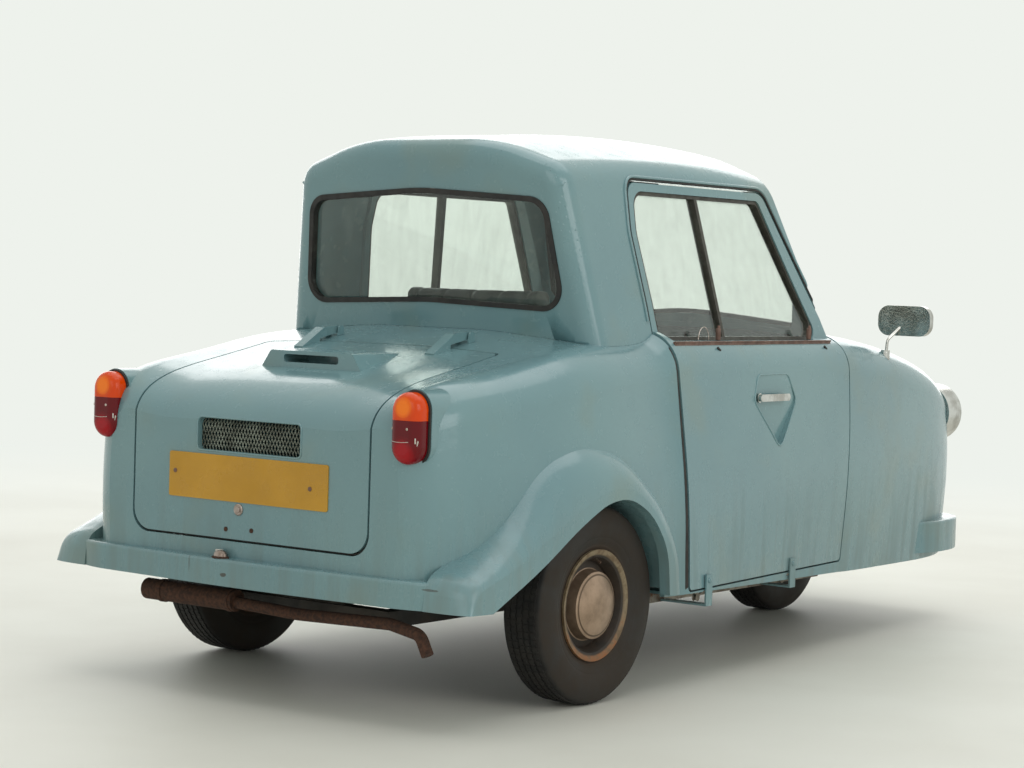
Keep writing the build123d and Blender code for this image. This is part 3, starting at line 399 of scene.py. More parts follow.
def lens_finish(name, dark, bright, centre_z, ring):
    """Clear coloured plastic over a round reflector on each side of the car, lighter towards the middle as a
    painted reflection of the reflector, darker along the reflector's rim, and glowing faintly as painted
    light.
    """
    material, tree = new_material(name)
    place = object_place(tree)
    high = along_axis(tree, place, "Z")
    across = math_node(tree, "ABSOLUTE", along_axis(tree, place, "X"))
    side = math_node(tree, "ABSOLUTE", math_node(tree, "SUBTRACT", across, LAMP_X))
    rise = math_node(tree, "ABSOLUTE", math_node(tree, "SUBTRACT", high, centre_z))
    squares = [math_node(tree, "POWER", length, 2.0) for length in (side, rise)]
    reach = math_node(tree, "SQRT", math_node(tree, "ADD", *squares))
    edge = ramp(tree, math_node(tree, "ABSOLUTE", math_node(tree, "SUBTRACT", reach, ring)), 0.004, 0.001)
    # Painted reflection: the lens is lighter over the reflector's middle
    colour = blend(tree, reach, ring * 1.25, ring * 0.4, dark, bright)
    colour = mix(tree, math_node(tree, "MULTIPLY", edge, 0.45), colour, dark)
    ribs = math_node(tree, "SINE", math_node(tree, "MULTIPLY", high, 2400.0))
    # Faint painted glow in the lens's own colour
    finish_surface(
        tree, colour, 0.1, ribs, bump_distance=0.0003, bump_strength=0.05, Specular_IOR_Level=0.28,
        Emission_Color=colour, Emission_Strength=0.12)
    return material


def cloth_finish():
    """Worn vinyl of the seat with a fine grain."""
    material, tree = new_material("seat_cloth")
    place = object_place(tree)
    grain = tree.add("ShaderNodeTexVoronoi", {"Vector": place, "Scale": 420.0}).outputs["Distance"]
    shade = blend(tree, noise(tree, place, 8.0, 5.0), 0.35, 0.65, srgb(62, 70, 68), srgb(78, 84, 78))
    rough = ramp(tree, noise(tree, place, 20.0), 0.3, 0.7, 0.42, 0.62)
    finish_surface(tree, shade, rough, grain, bump_distance=0.0006, bump_strength=0.4)
    return material


# Colours of the backdrop, the world's light and the ground, and half the ground's width
BACKDROP = srgb(238, 242, 236)
WORLD_TINT, WORLD_STRENGTH = (0.88, 0.94, 0.90), 0.47
GROUND, GROUND_PALE, GROUND_REACH = srgb(222, 219, 208), srgb(232, 230, 220), 30.0
# Distances from the car between which the ground fades into the backdrop
FADE_START, FADE_END = 2.2, 7.5
# Soft lamps: name, place, what it points at, size and power in watts
LAMPS = (
    ("sky_panel", (0.0, -0.5, 6.5), (0, 0, 0), (7.0, 7.0), 165),
    ("doorway_panel", (5.6, -6.4, 3.4), (0, 0, 0.7), (12.0, 6.0), 340),
    ("side_panel", (-6.5, 2.0, 3.2), (0, 0, 0.6), (4.5, 3.5), 95),
    ("tail_panel", (-1.5, 8.0, 3.6), (0, 0, 0.5), (4.0, 4.0), 45),
)


def looked_at(tree):
    """1 for rays from the camera, through glass or off a shiny face, and 0 for those that light."""
    ray = tree.add("ShaderNodeLightPath").outputs
    seen = math_node(tree, "MAXIMUM", ray["Is Camera Ray"], ray["Is Transmission Ray"])
    return math_node(tree, "MAXIMUM", seen, ray["Is Glossy Ray"])


def make_ground():
    """Pale ground that fades into the backdrop."""
    material, tree = new_material("floor")
    place = object_place(tree)
    tint = blend(tree, noise(tree, place, 0.8, 4.0), 0.3, 0.7, GROUND, GROUND_PALE)
    near = tree.add("ShaderNodeBsdfPrincipled", {"Base Color": tint, "Roughness": 0.6})
    haze = tree.add("ShaderNodeEmission", {"Color": rgba(BACKDROP), "Strength": 1.0})
    far = ramp(tree, distance_to(tree, place, ORIGIN), FADE_START, FADE_END)
    share = math_node(tree, "MULTIPLY", far, looked_at(tree))
    whole = tree.add("ShaderNodeMixShader", {0: share, 1: near, 2: haze})
    tree.add("ShaderNodeOutputMaterial", {"Surface": whole})
    mesh = bpy.data.meshes.new("floor")
    corners = [(x * GROUND_REACH, y * GROUND_REACH, 0) for x, y in ((-1, -1), (1, -1), (1, 1), (-1, 1))]
    mesh.from_pydata(corners, [], [(0, 1, 2, 3)])
    mesh.materials.append(material)
    floor = held("floor", mesh)


def make_stage():
    """Ground, an even pale world that lights less than it shows, and soft lamps."""
    make_ground()
    for name, place, aim, size, power in LAMPS:
        data = bpy.data.lights.new(name, "AREA")
        data.shape = "RECTANGLE"
        data.size, data.size_y = size
        data.energy = power
        lamp = held(name, data)
        lamp.location = place
        lamp.rotation_euler = (Vector(aim) - Vector(place)).to_track_quat("-Z", "Y").to_euler()

    world = bpy.data.worlds.new("world")
    world.use_nodes = True
    bpy.context.scene.world = world
    sky = Tree(world.node_tree)
    lit = sky.add("ShaderNodeBackground", {"Color": rgba(WORLD_TINT), "Strength": WORLD_STRENGTH})
    shown = sky.add("ShaderNodeBackground", {"Color": rgba(BACKDROP), "Strength": 1.0})
    whole = sky.add("ShaderNodeMixShader", {0: looked_at(sky), 1: lit, 2: shown})
    sky.add("ShaderNodeOutputWorld", {"Surface": whole})


# Plain finishes: two display colours, scale of their pattern, range of roughness, share of metal
PLAIN_FINISHES = {
    "plate_yellow": ((206, 152, 34), (194, 142, 30), 5.0, (0.24, 0.42)),
    "rubber": ((30, 29, 28), (44, 40, 36), 12.0, (0.5, 0.75)),
    "window_channel": ((74, 72, 64), (56, 52, 46), 16.0, (0.4, 0.65)),
    "strip_brown": ((126, 96, 84), (96, 72, 62), 22.0, (0.5, 0.8)),
    "dark_paint": ((36, 35, 33), (60, 52, 44), 6.0, (0.45, 0.8)),
    "cast_metal": ((104, 98, 90), (70, 62, 54), 12.0, (0.5, 0.8), 0.6),
    "bright_screw": ((216, 204, 196), (176, 160, 148), 90.0, (0.2, 0.4), 0.8),
    "white_lens": ((226, 222, 214), (196, 184, 172), 60.0, (0.1, 0.3)),
    "door_trim": ((96, 110, 100), (80, 94, 86), 5.0, (0.5, 0.75)),
}
# Steels: two display colours, share of rust, roughness, share of metal, and own browns of the rust, which for
# rusty_steel are darkened by painted shade
RUSTED_FINISHES = {
    "steel": ((128, 122, 112), (92, 84, 74), 0.35, 0.42, 0.85),
    "mesh_steel": ((158, 164, 150), (112, 114, 102), 0.25, 0.5, 0.3),
    # rusty_steel is painted darker than its rust, as painted shade for the exhaust under the car
    "rusty_steel": ((84, 66, 56), (58, 44, 38), 0.95, 0.6, 0.3, ((50, 32, 24), (84, 54, 38))),
    "chrome": ((206, 206, 202), (170, 168, 162), 0.02, 0.12, 1.0),
    "chrome_rust": ((176, 162, 154), (128, 112, 102), 0.35, 0.3, 0.75),
}
FINISHES = {
    "body_paint": body_paint(),
    "floor_and_skirts": floor_finish(),
    "glass": glass_finish("window_glass", 0.0, 0.05, (0.95, 0.975, 0.955)),
    "lamp_glass": glass_finish("lamp_glass", 0.02, 0.12, (0.94, 0.96, 0.95)),
    "amber": lens_finish("amber", srgb(214, 66, 4), srgb(250, 124, 22), 0.752, 0.027),
    "red": lens_finish("red", srgb(98, 2, 12), srgb(158, 8, 20), 0.646, 0.034),
    "seat_cloth": cloth_finish(),
}
FINISHES.update({name: plain_finish(name, *values) for name, values in PLAIN_FINISHES.items()})
FINISHES.update({name: rusted(name, *values) for name, values in RUSTED_FINISHES.items()})
# Nodes whose finish isn't the one of their slot
OWN_FINISH = {
    "floor_pan": "floor_and_skirts",
    "headlamp_glass": "lamp_glass",
    "lid_hinges": "body_paint",
    "window_frame_left": "window_channel",
    "window_frame_right": "window_channel",
}
for wheel_name, wheel_body, wheel_centre, road_side in WHEELS:
    for own, dressed in ((f"wheel_{wheel_name}", wheel_finish), (f"tyre_{wheel_name}", tyre_finish)):
        FINISHES[own] = dressed(own, wheel_centre)
        OWN_FINISH[own] = own
slots = {row["node"]: row["material_slot"] for row in frame["record"]["subparts"]}
for name, node in nodes.items():
    node.data.materials.clear()
    node.data.materials.append(FINISHES[OWN_FINISH.get(name, slots.get(name))])


def surface(*names):
    """What rays meet: the faces of the named CAD nodes."""
    vertices, faces = [], []
    for name in names:
        mesh = nodes[name].data
        first = len(vertices)
        vertices += [v.co.copy() for v in mesh.vertices]
        faces += [[first + i for i in polygon.vertices] for polygon in mesh.polygons]
    return BVHTree.FromPolygons(vertices, faces)


DOOR_SKINS = {1: surface("door_left"), -1: surface("door_right")}


def ray_hit(skin, start, towards):
    """Place and normal where a ray meets a skin, or None twice where it misses."""
    return skin.ray_cast(Vector(start), Vector(towards))[:2]


def from_behind(skin, x, z):
    """Place and normal where a level ray from behind the car meets a skin."""
    return ray_hit(skin, (x, BEHIND_Y, z), (0, -1, 0))


def on_door(side, y, z, proud=0.0):
    """Point on the outside of a door, moved outwards by proud, or one inside it where the ray misses."""
    inside_x = 0.5
    place = ray_hit(DOOR_SKINS[side], (side * BESIDE_X, y, z), (-side, 0, 0))[0]
    return place + Vector((side * proud, 0, 0)) if place is not None else Vector((side * inside_x, y, z))


@contextmanager
def edited(mesh):
    """The mesh open for edits, written back at the end."""
    form = bmesh.new()
    form.from_mesh(mesh)
    yield form
    form.to_mesh(mesh)
    form.free()


def soft_shaded(mesh, sharp=SHARP_ANGLE):
    """The mesh shaded smooth, with edges sharper than an angle in degrees kept."""
    mesh.shade_smooth()
    mesh.set_sharp_from_angle(angle=math.radians(sharp))
    return mesh


def smoothed(mesh, sharp=SHARP_ANGLE):
    """The mesh merged, with its faces outward and its hard edges kept."""
    with edited(mesh) as form:
        bmesh.ops.remove_doubles(form, verts=form.verts, dist=MERGE_DISTANCE)
        bmesh.ops.recalc_face_normals(form, faces=form.faces)
    return soft_shaded(mesh, sharp)


def mesh_of(name, vertices, faces, sharp=SHARP_ANGLE):
    """Mesh from its points and faces."""
    mesh = bpy.data.meshes.new(name)
    mesh.from_pydata([tuple(v) for v in vertices], [], faces)
    return smoothed(mesh, sharp)


def joined(name, parts):
    """One mesh from several."""
    form = bmesh.new()
    for part in parts:
        form.from_mesh(part)
    mesh = bpy.data.meshes.new(name)
    form.to_mesh(mesh)
    form.free()
    return soft_shaded(mesh)


def baked(holder, name):
    """The evaluated shape of an object as a plain mesh. The object is removed."""
    bpy.context.view_layer.update()
    ready = holder.evaluated_get(bpy.context.evaluated_depsgraph_get())
    mesh = bpy.data.meshes.new_from_object(ready)
    mesh.name = name
    bpy.data.objects.remove(holder)
    return mesh


def fit(name, shape, finish, body, replaced=()):
    """Put a finished mesh, or a list of them joined into one, on the car as a piece."""
    mesh = joined(name, shape) if isinstance(shape, list) else shape
    obj = held(name, mesh)
    mesh.materials.clear()
    mesh.materials.append(FINISHES[finish])
    for polygon in mesh.polygons:
        polygon.material_index = 0
    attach(obj, body)
    if replaced:
        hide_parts(*replaced)
    return obj


def tube(name, lines, radius, closed=False, round_steps=3):
    """Round bar or bead along one or more lines of points."""
    curve = bpy.data.curves.new(name, "CURVE")
    curve.dimensions = "3D"
    curve.bevel_depth = radius
    curve.bevel_resolution = round_steps
    curve.use_fill_caps = True
    for line in lines:
        spline = curve.splines.new("POLY")
        spline.points.add(len(line) - 1)
        for point, place in zip(spline.points, line):
            point.co = (*place, 1)
        spline.use_cyclic_u = closed
    return smoothed(baked(held(name, curve), name))


def lathe(name, outline, centre=ORIGIN, axis=Z_AXIS, steps=40, sharp=SHARP_ANGLE):
    """Closed outline of distances along and away from an axis, turned about it."""
    along = Vector(axis).normalized()
    first = along.orthogonal().normalized()
    second = along.cross(first)
    vertices, faces = [], []
    count = len(outline)
    for step in range(steps):
        angle = 2 * math.pi * step / steps
        away = first * math.cos(angle) + second * math.sin(angle)
        vertices += [Vector(centre) + along * x + away * r for x, r in outline]
        ring, next_ring = step * count, (step + 1) % steps * count
        for index in range(count):
            after = (index + 1) % count
            faces.append((ring + index, ring + after, next_ring + after, next_ring + index))
    return mesh_of(name, vertices, faces, sharp)


def bar_of(name, sections, sharp=SHARP_ANGLE):
    """Closed bar from its sections of four points each."""
    vertices = [point for section in sections for point in section]
    last = len(vertices) - 4
    faces = []
    for first in range(0, last, 4):
        for k in range(4):
            a, b = first + k, first + (k + 1) % 4
            faces.append((a, b, b + 4, a + 4))
    faces += [(3, 2, 1, 0), (last, last + 1, last + 2, last + 3)]
    return mesh_of(name, vertices, faces, sharp)


def flat_strip(name, line, outward, wide, thick):
    """Bar of rectangular section along a line, its width upright."""
    section = [
        Vector(outward) * thick * out + Vector((0, 0, wide * up))
        for out, up in ((0, -0.5), (1, -0.5), (1, 0.5), (0, 0.5))
    ]
    return bar_of(name, [[Vector(place) + corner for corner in section] for place in line])


def skin_band(name, inner, outer, proud=0.0007, deep=0.0015):
    """Thin closed band on a surface between two lines of (place, normal)."""
    sections = []
    for (near, near_normal), (far, far_normal) in zip(inner, outer):
        sections.append((near + near_normal * proud, far + far_normal * proud,
                         far - far_normal * deep, near - near_normal * deep))
    return bar_of(name, sections, 60)


def oblong(name, centre, size, edge, turn=None):
    """Block with rounded edges."""
    mesh = bpy.data.meshes.new(name)
    with edited(mesh) as form:
        bmesh.ops.create_cube(form, size=1.0)
        bmesh.ops.scale(form, vec=Vector(size), verts=form.verts)
        bmesh.ops.bevel(
            form, geom=list(form.edges), offset=edge, segments=3, profile=0.5, affect="EDGES",
            clamp_overlap=True)
        if turn is not None:
            bmesh.ops.transform(form, matrix=turn, verts=form.verts)
        bmesh.ops.translate(form, vec=Vector(centre), verts=form.verts)
    return smoothed(mesh)


def eased(points, steps):
    """Points on a smooth line through the given ones."""
    line = []
    for index in range(len(points) - 1):
        before = Vector(points[max(index - 1, 0)])
        start, end = Vector(points[index]), Vector(points[index + 1])
        after = Vector(points[min(index + 2, len(points) - 1)])
        for step in range(steps):
            t = step / steps
            line.append(0.5 * (
                2 * start + (end - before) * t + (2 * before - 5 * start + 4 * end - after) * t * t
                + (3 * start - before - 3 * end + after) * t ** 3))
    line.append(Vector(points[-1]))
    return line


def rounded(corners, radii, step=0.015):
    """Closed line round flat corners, each with its radius, with points no further apart than step."""
    line = []
    for index, (corner, radius) in enumerate(zip(corners, radii)):
        corner = Vector(corner)
        before, after = Vector(corners[index - 1]), Vector(corners[(index + 1) % len(corners)])
        back, on = (before - corner), (after - corner)
        half = (math.pi - back.angle(on)) / 2
        cut = min(radius * math.tan(half), 0.48 * back.length, 0.48 * on.length)
        start, end = corner + back.normalized() * cut, corner + on.normalized() * cut
        for k in range(7):
            t = k / 6
            line.append(start * (1 - t) ** 2 + corner * 2 * t * (1 - t) + end * t * t)
    spaced = []
    for here, there in zip(line, line[1:] + line[:1]):
        pieces = max(1, math.ceil((there - here).length / step))
        spaced += [here.lerp(there, k / pieces) for k in range(pieces)]
    return spaced


def shape_tree(name, inputs):
    """Empty geometry tree, the outputs of its input node, and its named inputs' identifiers."""
    group = bpy.data.node_groups.new(name, "GeometryNodeTree")
    group.is_modifier = True
    group.interface.new_socket("Geometry", in_out="INPUT", socket_type="NodeSocketGeometry")
    identifiers = {}
    for label, kind, default in inputs:
        socket = group.interface.new_socket(label, in_out="INPUT", socket_type=kind)
        if default is not None:
            socket.default_value = default
        identifiers[label] = socket.identifier
    group.interface.new_socket("Geometry", in_out="OUTPUT", socket_type="NodeSocketGeometry")
    tree = Tree(group)
    return tree, tree.add("NodeGroupInput").outputs, identifiers


def end_tree(tree, points, shape, finish, **turns):
    """Set a shape at every point, make it real, dress it and send it to the tree's output."""
    placed = tree.add("GeometryNodeInstanceOnPoints", {"Points": points, "Instance": shape, **turns})
    real = tree.add("GeometryNodeRealizeInstances", {"Geometry": placed})
    dressed = tree.add("GeometryNodeSetMaterial", {"Geometry": real, "Material": finish})
    tree.add("NodeGroupOutput", {"Geometry": dressed})


def grown_from(name, points, tree, identifiers, values):
    """Plain mesh that a geometry tree makes from a mesh of points, with its inputs set."""
    holder = held(name, points)
    modifier = holder.modifiers.new("shape", "NODES")
    modifier.node_group = tree.tree
    for label, value in values.items():
        modifier[identifiers[label]] = value
    return baked(holder, name)


def repeat_tree():
    """Geometry tree that sets a shape at every point, turned by the point's own value."""
    tree, given, identifiers = shape_tree(
        "repeat_shape", (("Shape", "NodeSocketObject", None), ("Finish", "NodeSocketMaterial", None)))
    shape = tree.add("GeometryNodeObjectInfo", {"Object": given["Shape"]}).outputs["Geometry"]
    turn = tree.add("GeometryNodeInputNamedAttribute", {"Name": "turn"}, data_type="FLOAT_VECTOR")
    end_tree(tree, given["Geometry"], shape, given["Finish"], Rotation=turn.outputs["Attribute"])
    return tree, identifiers


REPEAT, REPEAT_INPUTS = repeat_tree()


def repeated(name, shape, places, turns, finish):
    """A small shape set at each place with its own turn, as one mesh."""
    points = bpy.data.meshes.new(f"{name}_places")
    points.from_pydata([tuple(p) for p in places], [], [])
    layer = points.attributes.new("turn", "FLOAT_VECTOR", "POINT")
    for item, turn in zip(layer.data, turns):
        item.vector = turn
    pattern = held(f"{name}_shape", shape)
    mesh = grown_from(name, points, REPEAT, REPEAT_INPUTS, {"Shape": pattern, "Finish": FINISHES[finish]})
    bpy.data.objects.remove(pattern)
    return soft_shaded(mesh)


def fit_repeated(name, shape, places, turns, finish, body):
    """Put a small shape set at each place on the car as one piece."""
    return fit(name, repeated(name, shape, places, turns, finish), finish, body)


def turn_from_up(direction, spin=0.0):
    """Euler turn that takes +Z to the direction, after a spin about it."""
    turn = Vector(Z_AXIS).rotation_difference(Vector(direction).normalized()).to_matrix()
    return tuple((turn @ Matrix.Rotation(spin, 3, "Z")).to_euler())


def screw_head(radius, height, slot):
    """Domed screw head on the level plane, with a slot across it."""
    outline = [(0, 0), (0, radius), (height * 0.45, radius * 0.96), (height * 0.8, radius * 0.72),
               (height, radius * 0.3), (height, 0)]
    head = lathe("screw_head", outline, steps=20)
    bar = oblong("slot", (0, 0, height - slot * 0.1), (radius * 1.5, slot, slot * 0.7), slot * 0.05)
    return joined("screw", [head, bar])


def lid_gap_line(depth):
    """Points down the middle of the gap round the engine lid, under the surface by depth."""
    body = surface("rear_body")
    out_of_gap, back_off, above_z, behind_y = 0.007, 0.4, 1.0, 1.5
    half = []

    def drop(place, outward, towards):
        outward, towards = Vector(outward), Vector(towards)
        hit, normal = ray_hit(body, Vector(place) + outward * out_of_gap - towards * back_off, towards)
        if hit is not None:
            half.append(hit - outward * out_of_gap - normal * depth)

    down, forward = (0, 0, -1), (0, -1, 0)
    corner_x, corner_y = LID_HALF - LID_PLAN_CORNER, LID_FRONT_Y + LID_PLAN_CORNER
    for k in range(20):
        drop((corner_x * k / 20, LID_FRONT_Y, above_z), (0, -1, 0), down)
    for k in range(7):
        angle = math.pi / 2 * k / 6
        outward = Vector((math.sin(angle), -math.cos(angle), 0))
        drop(Vector((corner_x, corner_y, above_z)) + outward * LID_PLAN_CORNER, outward, down)
    for k in range(1, 22):
        drop((LID_HALF, corner_y + (LID_BEND_Y - corner_y) * k / 21, above_z), X_AXIS, down)
    for k in range(1, 24):
        angle = math.pi / 2 * (1 - k / 24)
        away = Vector((0, math.cos(angle), math.sin(angle)))
        drop(Vector((LID_HALF, LID_BEND_Y, LID_BEND_Z)) + away * LID_BEND_INSIDE, X_AXIS, -away)
    turn_x, turn_z = LID_HALF - LID_CORNER, LID_BOTTOM_Z + LID_CORNER
    for k in range(12):
        drop((LID_HALF, behind_y, LID_BEND_Z + (turn_z - LID_BEND_Z) * k / 11), X_AXIS, forward)
    for k in range(1, 9):
        angle = math.pi / 2 * k / 8
        outward = Vector((math.cos(angle), 0, -math.sin(angle)))
        drop(Vector((turn_x, behind_y, turn_z)) + outward * LID_CORNER, outward, forward)
    for k in range(1, 16):
        drop((turn_x * (1 - k / 16), behind_y, LID_BOTTOM_Z), (0, 0, -1), forward)
    return half + [Vector((-p.x, p.y, p.z)) for p in reversed(half)]


def beside_door_gap(side, panels, out):
    """Flat point of a door's gap, its outward way, and the panels' place and normal out(z) beyond it."""
    flat = rounded(DOOR_GAP_CORNERS, DOOR_GAP_RADII)
    for before, here, after in zip(flat[-1:] + flat[:-1], flat, flat[1:] + flat[:1]):
        run = (after - before).normalized()
        outward = Vector((0, run.y, -run.x))
        start = Vector((side * BESIDE_X, here.x, here.y)) + outward * out(here.y)
        place, normal = ray_hit(panels, start, (-side, 0, 0))
        if place is not None:
            yield here, outward, place, normal


def door_gap_line(side, panels):
    """Points down the middle of the gap round a door, on the car's left at side 1."""
    beside, sill_depth, window_depth, window_z = 0.006, 0.009, 0.014, 0.9
    line = []
    for here, outward, place, normal in beside_door_gap(side, panels, lambda z: beside):
        depth = sill_depth if here.y < window_z else window_depth
        line.append(place - outward * beside - normal * depth)
    return line


def make_seals():
    """Dark rubber in the gaps round the lid and both doors."""
    lid_depth, lid_radius, door_radius = 0.010, 0.0028, 0.0023
    fit("lid_seal", tube("lid_seal", [lid_gap_line(lid_depth)], lid_radius, True), "rubber", "car")
    panels = surface("rear_body", "front_body", "roof", "floor_pan")
    lines = [door_gap_line(side, panels) for side in SIDES]
    fit("door_seals", tube("door_seals", lines, door_radius, True), "rubber", "car")


def behind_door(y, z):
    """Whether a point of a door's gap lies on its upright rear edge."""
    return y > 0.455 and 0.262 < z < 0.893


def above_door(y, z):
    """Whether a point of a door's gap lies round its window."""
    return z > 0.945


def make_door_gap_shades():
    """Painted shade of the gap behind each door: a dark band on the body, wider low down. Also a painted
    shadow under the drip gutter over each window, and the gutter itself.
    """
    panels = surface("rear_body", "front_body", "roof")
    # How far the painted gap shade reaches from the gap: its near edge, its far edge, and how much wider it
    # spreads towards the bottom
    shade_near, shade_far, shade_spread, spread_top_z, spread_over = 0.0027, 0.0052, 0.0075, 0.86, 0.5
    shadow_out, shadow_proud, shadow_radius = 0.0058, 0.0002, 0.0032
    gutter_out, gutter_proud, gutter_radius = 0.0128, 0.0012, 0.0042

    def beside(side, out, keep):
        found = beside_door_gap(side, panels, out)
        return [(place, normal) for here, outward, place, normal in found if keep(here.x, here.y)]

    def shade_out(z):
        return shade_far + shade_spread * min(max((spread_top_z - z) / spread_over, 0.0), 1.0)

    def raised(side, out, proud):
        return [place + normal * proud for place, normal in beside(side, lambda z: out, above_door)]

    bands, gutters, shadows = [], [], []
    for side in SIDES:
        # Dark rubber band on the body behind each door: painted shade that makes the gap look deeper and
        # wider
        inner = beside(side, lambda z: shade_near, behind_door)
        bands.append(skin_band("door_gap_shade", inner, beside(side, shade_out, behind_door)))
        shadows.append(tube("gutter_shadow", [raised(side, shadow_out, shadow_proud)], shadow_radius))
        gutters.append(tube("gutter", [raised(side, gutter_out, gutter_proud)], gutter_radius))
    fit("door_edges", bands, "rubber", "car")
    fit("gutter_shadows", shadows, "rubber", "car")
    fit("drip_gutters", gutters, "body_paint", "car")


def make_painted_rims():
    """Soft painted edges round the handle recesses and round the lid's opening."""
    beyond_edge, proud, recess_bead, opening_bead = 0.0015, 0.0002, 0.0024, 0.0026
    rims = []
    for side in SIDES:
        line = []
        for place in rounded(RECESS_CORNERS, (RECESS_RADIUS,) * len(RECESS_CORNERS), 0.008):
            away = (place - Vector(RECESS_MIDDLE)).normalized() * beyond_edge
            line.append(on_door(side, place.x + away.x, place.y + away.y, proud))
        rims.append(tube("recess_rim", [line], recess_bead, True))
    fit("recess_rims", rims, "body_paint", "car")
    lid = surface("engine_lid")
    corners = ((-OPENING_HALF, OPENING_LOW_Z), (OPENING_HALF, OPENING_LOW_Z),
               (OPENING_HALF, OPENING_HIGH_Z), (-OPENING_HALF, OPENING_HIGH_Z))
    hits = [from_behind(lid, *place)[0] for place in rounded(corners, (OPENING_RADIUS,) * 4, 0.010)]
    line = [hit for hit in hits if hit is not None]
    fit("grille_rim", tube("grille_rim", [line], opening_bead, True), "body_paint", "lid")


def rear_ridge(work):
    """The roof's hard rear edge: a search tree of its points, and the normals of the two faces at each."""
    # An edge of the ridge turns by more than about 40 degrees, from a face to the rear to one outwards
    turned_by, rear_facing, other_outward, roof_middle_z = 0.75, 0.9, 0.1, 1.0
    # It lies behind the doors, above the shoulders and outside the window's opening
    front_limit_y, shoulder_z, window_half, window_top = 0.70, 0.87, 0.452, 1.31
    point_step = 0.002
    ridge = KDTree(20000)
    beside = []
    for edge in work.edges:
        if len(edge.link_faces) != 2:
            continue
        first, second = (face.normal for face in edge.link_faces)
        if first.dot(second) > turned_by:
            continue
        rear, other = (first, second) if first.y > second.y else (second, first)
        start, end = (vertex.co for vertex in edge.verts)
        middle = (start + end) / 2
        outward = Vector((middle.x, 0, max(middle.z - roof_middle_z, 0) * 1.2))
        if rear.y < rear_facing or other.dot(outward) < other_outward:
            continue
        if middle.y < front_limit_y or middle.z < shoulder_z:
            continue
        if abs(middle.x) < window_half and middle.z < window_top:
            continue
        steps = max(1, math.ceil(edge.calc_length() / point_step))
        for k in range(steps + 1):
            ridge.insert(start.lerp(end, k / steps), len(beside))
            beside.append((rear.copy(), other.copy()))
    ridge.balance()
    return ridge, beside


def make_soft_roof():
    """The roof with its hard rear edge rounded over, from a merged and finer copy of its node."""
    copy_merge, deepest_share = 0.00002, 0.3536
    longest_edges = (0.040, 0.024, 0.015, 0.009, 0.009)
    mesh = nodes["roof"].data.copy()
    mesh.name = "roof_shell"
    with edited(mesh) as work:
        bmesh.ops.remove_doubles(work, verts=work.verts, dist=copy_merge)
        work.normal_update()
        ridge, beside = rear_ridge(work)

        def near_ridge(edge):
            start, end = (vertex.co for vertex in edge.verts)
            return min(ridge.find(place)[2] for place in (start, end, (start + end) / 2)) < ROOF_ROUND

        for longest in longest_edges:
            near = [edge for edge in work.edges if edge.calc_length() > longest and near_ridge(edge)]
            bmesh.ops.subdivide_edges(work, edges=near, cuts=1)
            bmesh.ops.triangulate(work, faces=work.faces)
        moves = []
        for vertex in work.verts:
            place, index, distance = ridge.find(vertex.co)
            rear, other = beside[index]
            height = max((vertex.co - place).dot(normal) for normal in (rear, other))
            if distance >= ROOF_ROUND or height < -ROOF_SKIN:
                continue
            depth = deepest_share * ROOF_ROUND * (1 - distance / ROOF_ROUND) ** 2
            moves.append((vertex, vertex.co - (rear + other).normalized() * depth))
        for vertex, place in moves:
            vertex.co = place
    fit("roof_shell", smoothed(mesh, 30), "body_paint", "car", ("roof",))


def grille_tree():
    """Geometry tree of expanded metal: zigzag strands along X, each next one half a cell along."""
    sizes = (
        ("Cell long", 0.0225), ("Cell short", 0.0106), ("Strand width", 0.0019), ("Strand depth", 0.0017))
    tree, given, identifiers = shape_tree("expanded_metal", (
        ("Finish", "NodeSocketMaterial", None),
        *((label, "NodeSocketFloat", size) for label, size in sizes),
        ("Cells", "NodeSocketInt", 4),
        ("Strands", "NodeSocketInt", 60),
    ))

    def maths(operation, *values):
        return math_node(tree, operation, *values)

    def vector(**axes):
        return tree.add("ShaderNodeCombineXYZ", axes)

    def row(count, start, step):
        return tree.add("GeometryNodeMeshLine", {"Count": count, "Start Location": start, "Offset": step})

    def moved(geometry, offset):
        return tree.add("GeometryNodeSetPosition", {"Geometry": geometry, "Offset": offset})

    def odd():
        return maths("MODULO", tree.add("GeometryNodeInputIndex"), 2.0)

    half_cell = maths("MULTIPLY", given["Cell long"], 0.5)
    corners = maths("ADD", maths("MULTIPLY", given["Cells"], 2.0), 1.0)
    half_wide = maths("MULTIPLY", maths("MULTIPLY", given["Cells"], half_cell), -1.0)
    strand = row(corners, vector(X=half_wide), vector(X=half_cell))
    swing = maths("MULTIPLY", maths("SUBTRACT", odd(), 0.5), given["Cell short"])
    zigzag = moved(strand, vector(Z=maths("MULTIPLY", swing, 0.5)))
    line = tree.add("GeometryNodeMeshToCurve", {"Mesh": zigzag})
    section = tree.add(
        "GeometryNodeCurvePrimitiveQuadrilateral",
        {"Width": given["Strand width"], "Height": given["Strand depth"]})
    bar = tree.add("GeometryNodeCurveToMesh", {"Curve": line, "Profile Curve": section, "Fill Caps": True})
    row_step = maths("MULTIPLY", given["Cell short"], 0.5)
    height = maths("MULTIPLY", maths("SUBTRACT", given["Strands"], 1.0), row_step)
    rows = row(given["Strands"], vector(Z=maths("MULTIPLY", height, -0.5)), vector(Z=row_step))
    staggered = moved(rows, vector(X=maths("MULTIPLY", odd(), half_cell)))
    end_tree(tree, staggered, bar, given["Finish"])
    return tree, identifiers, dict(sizes)


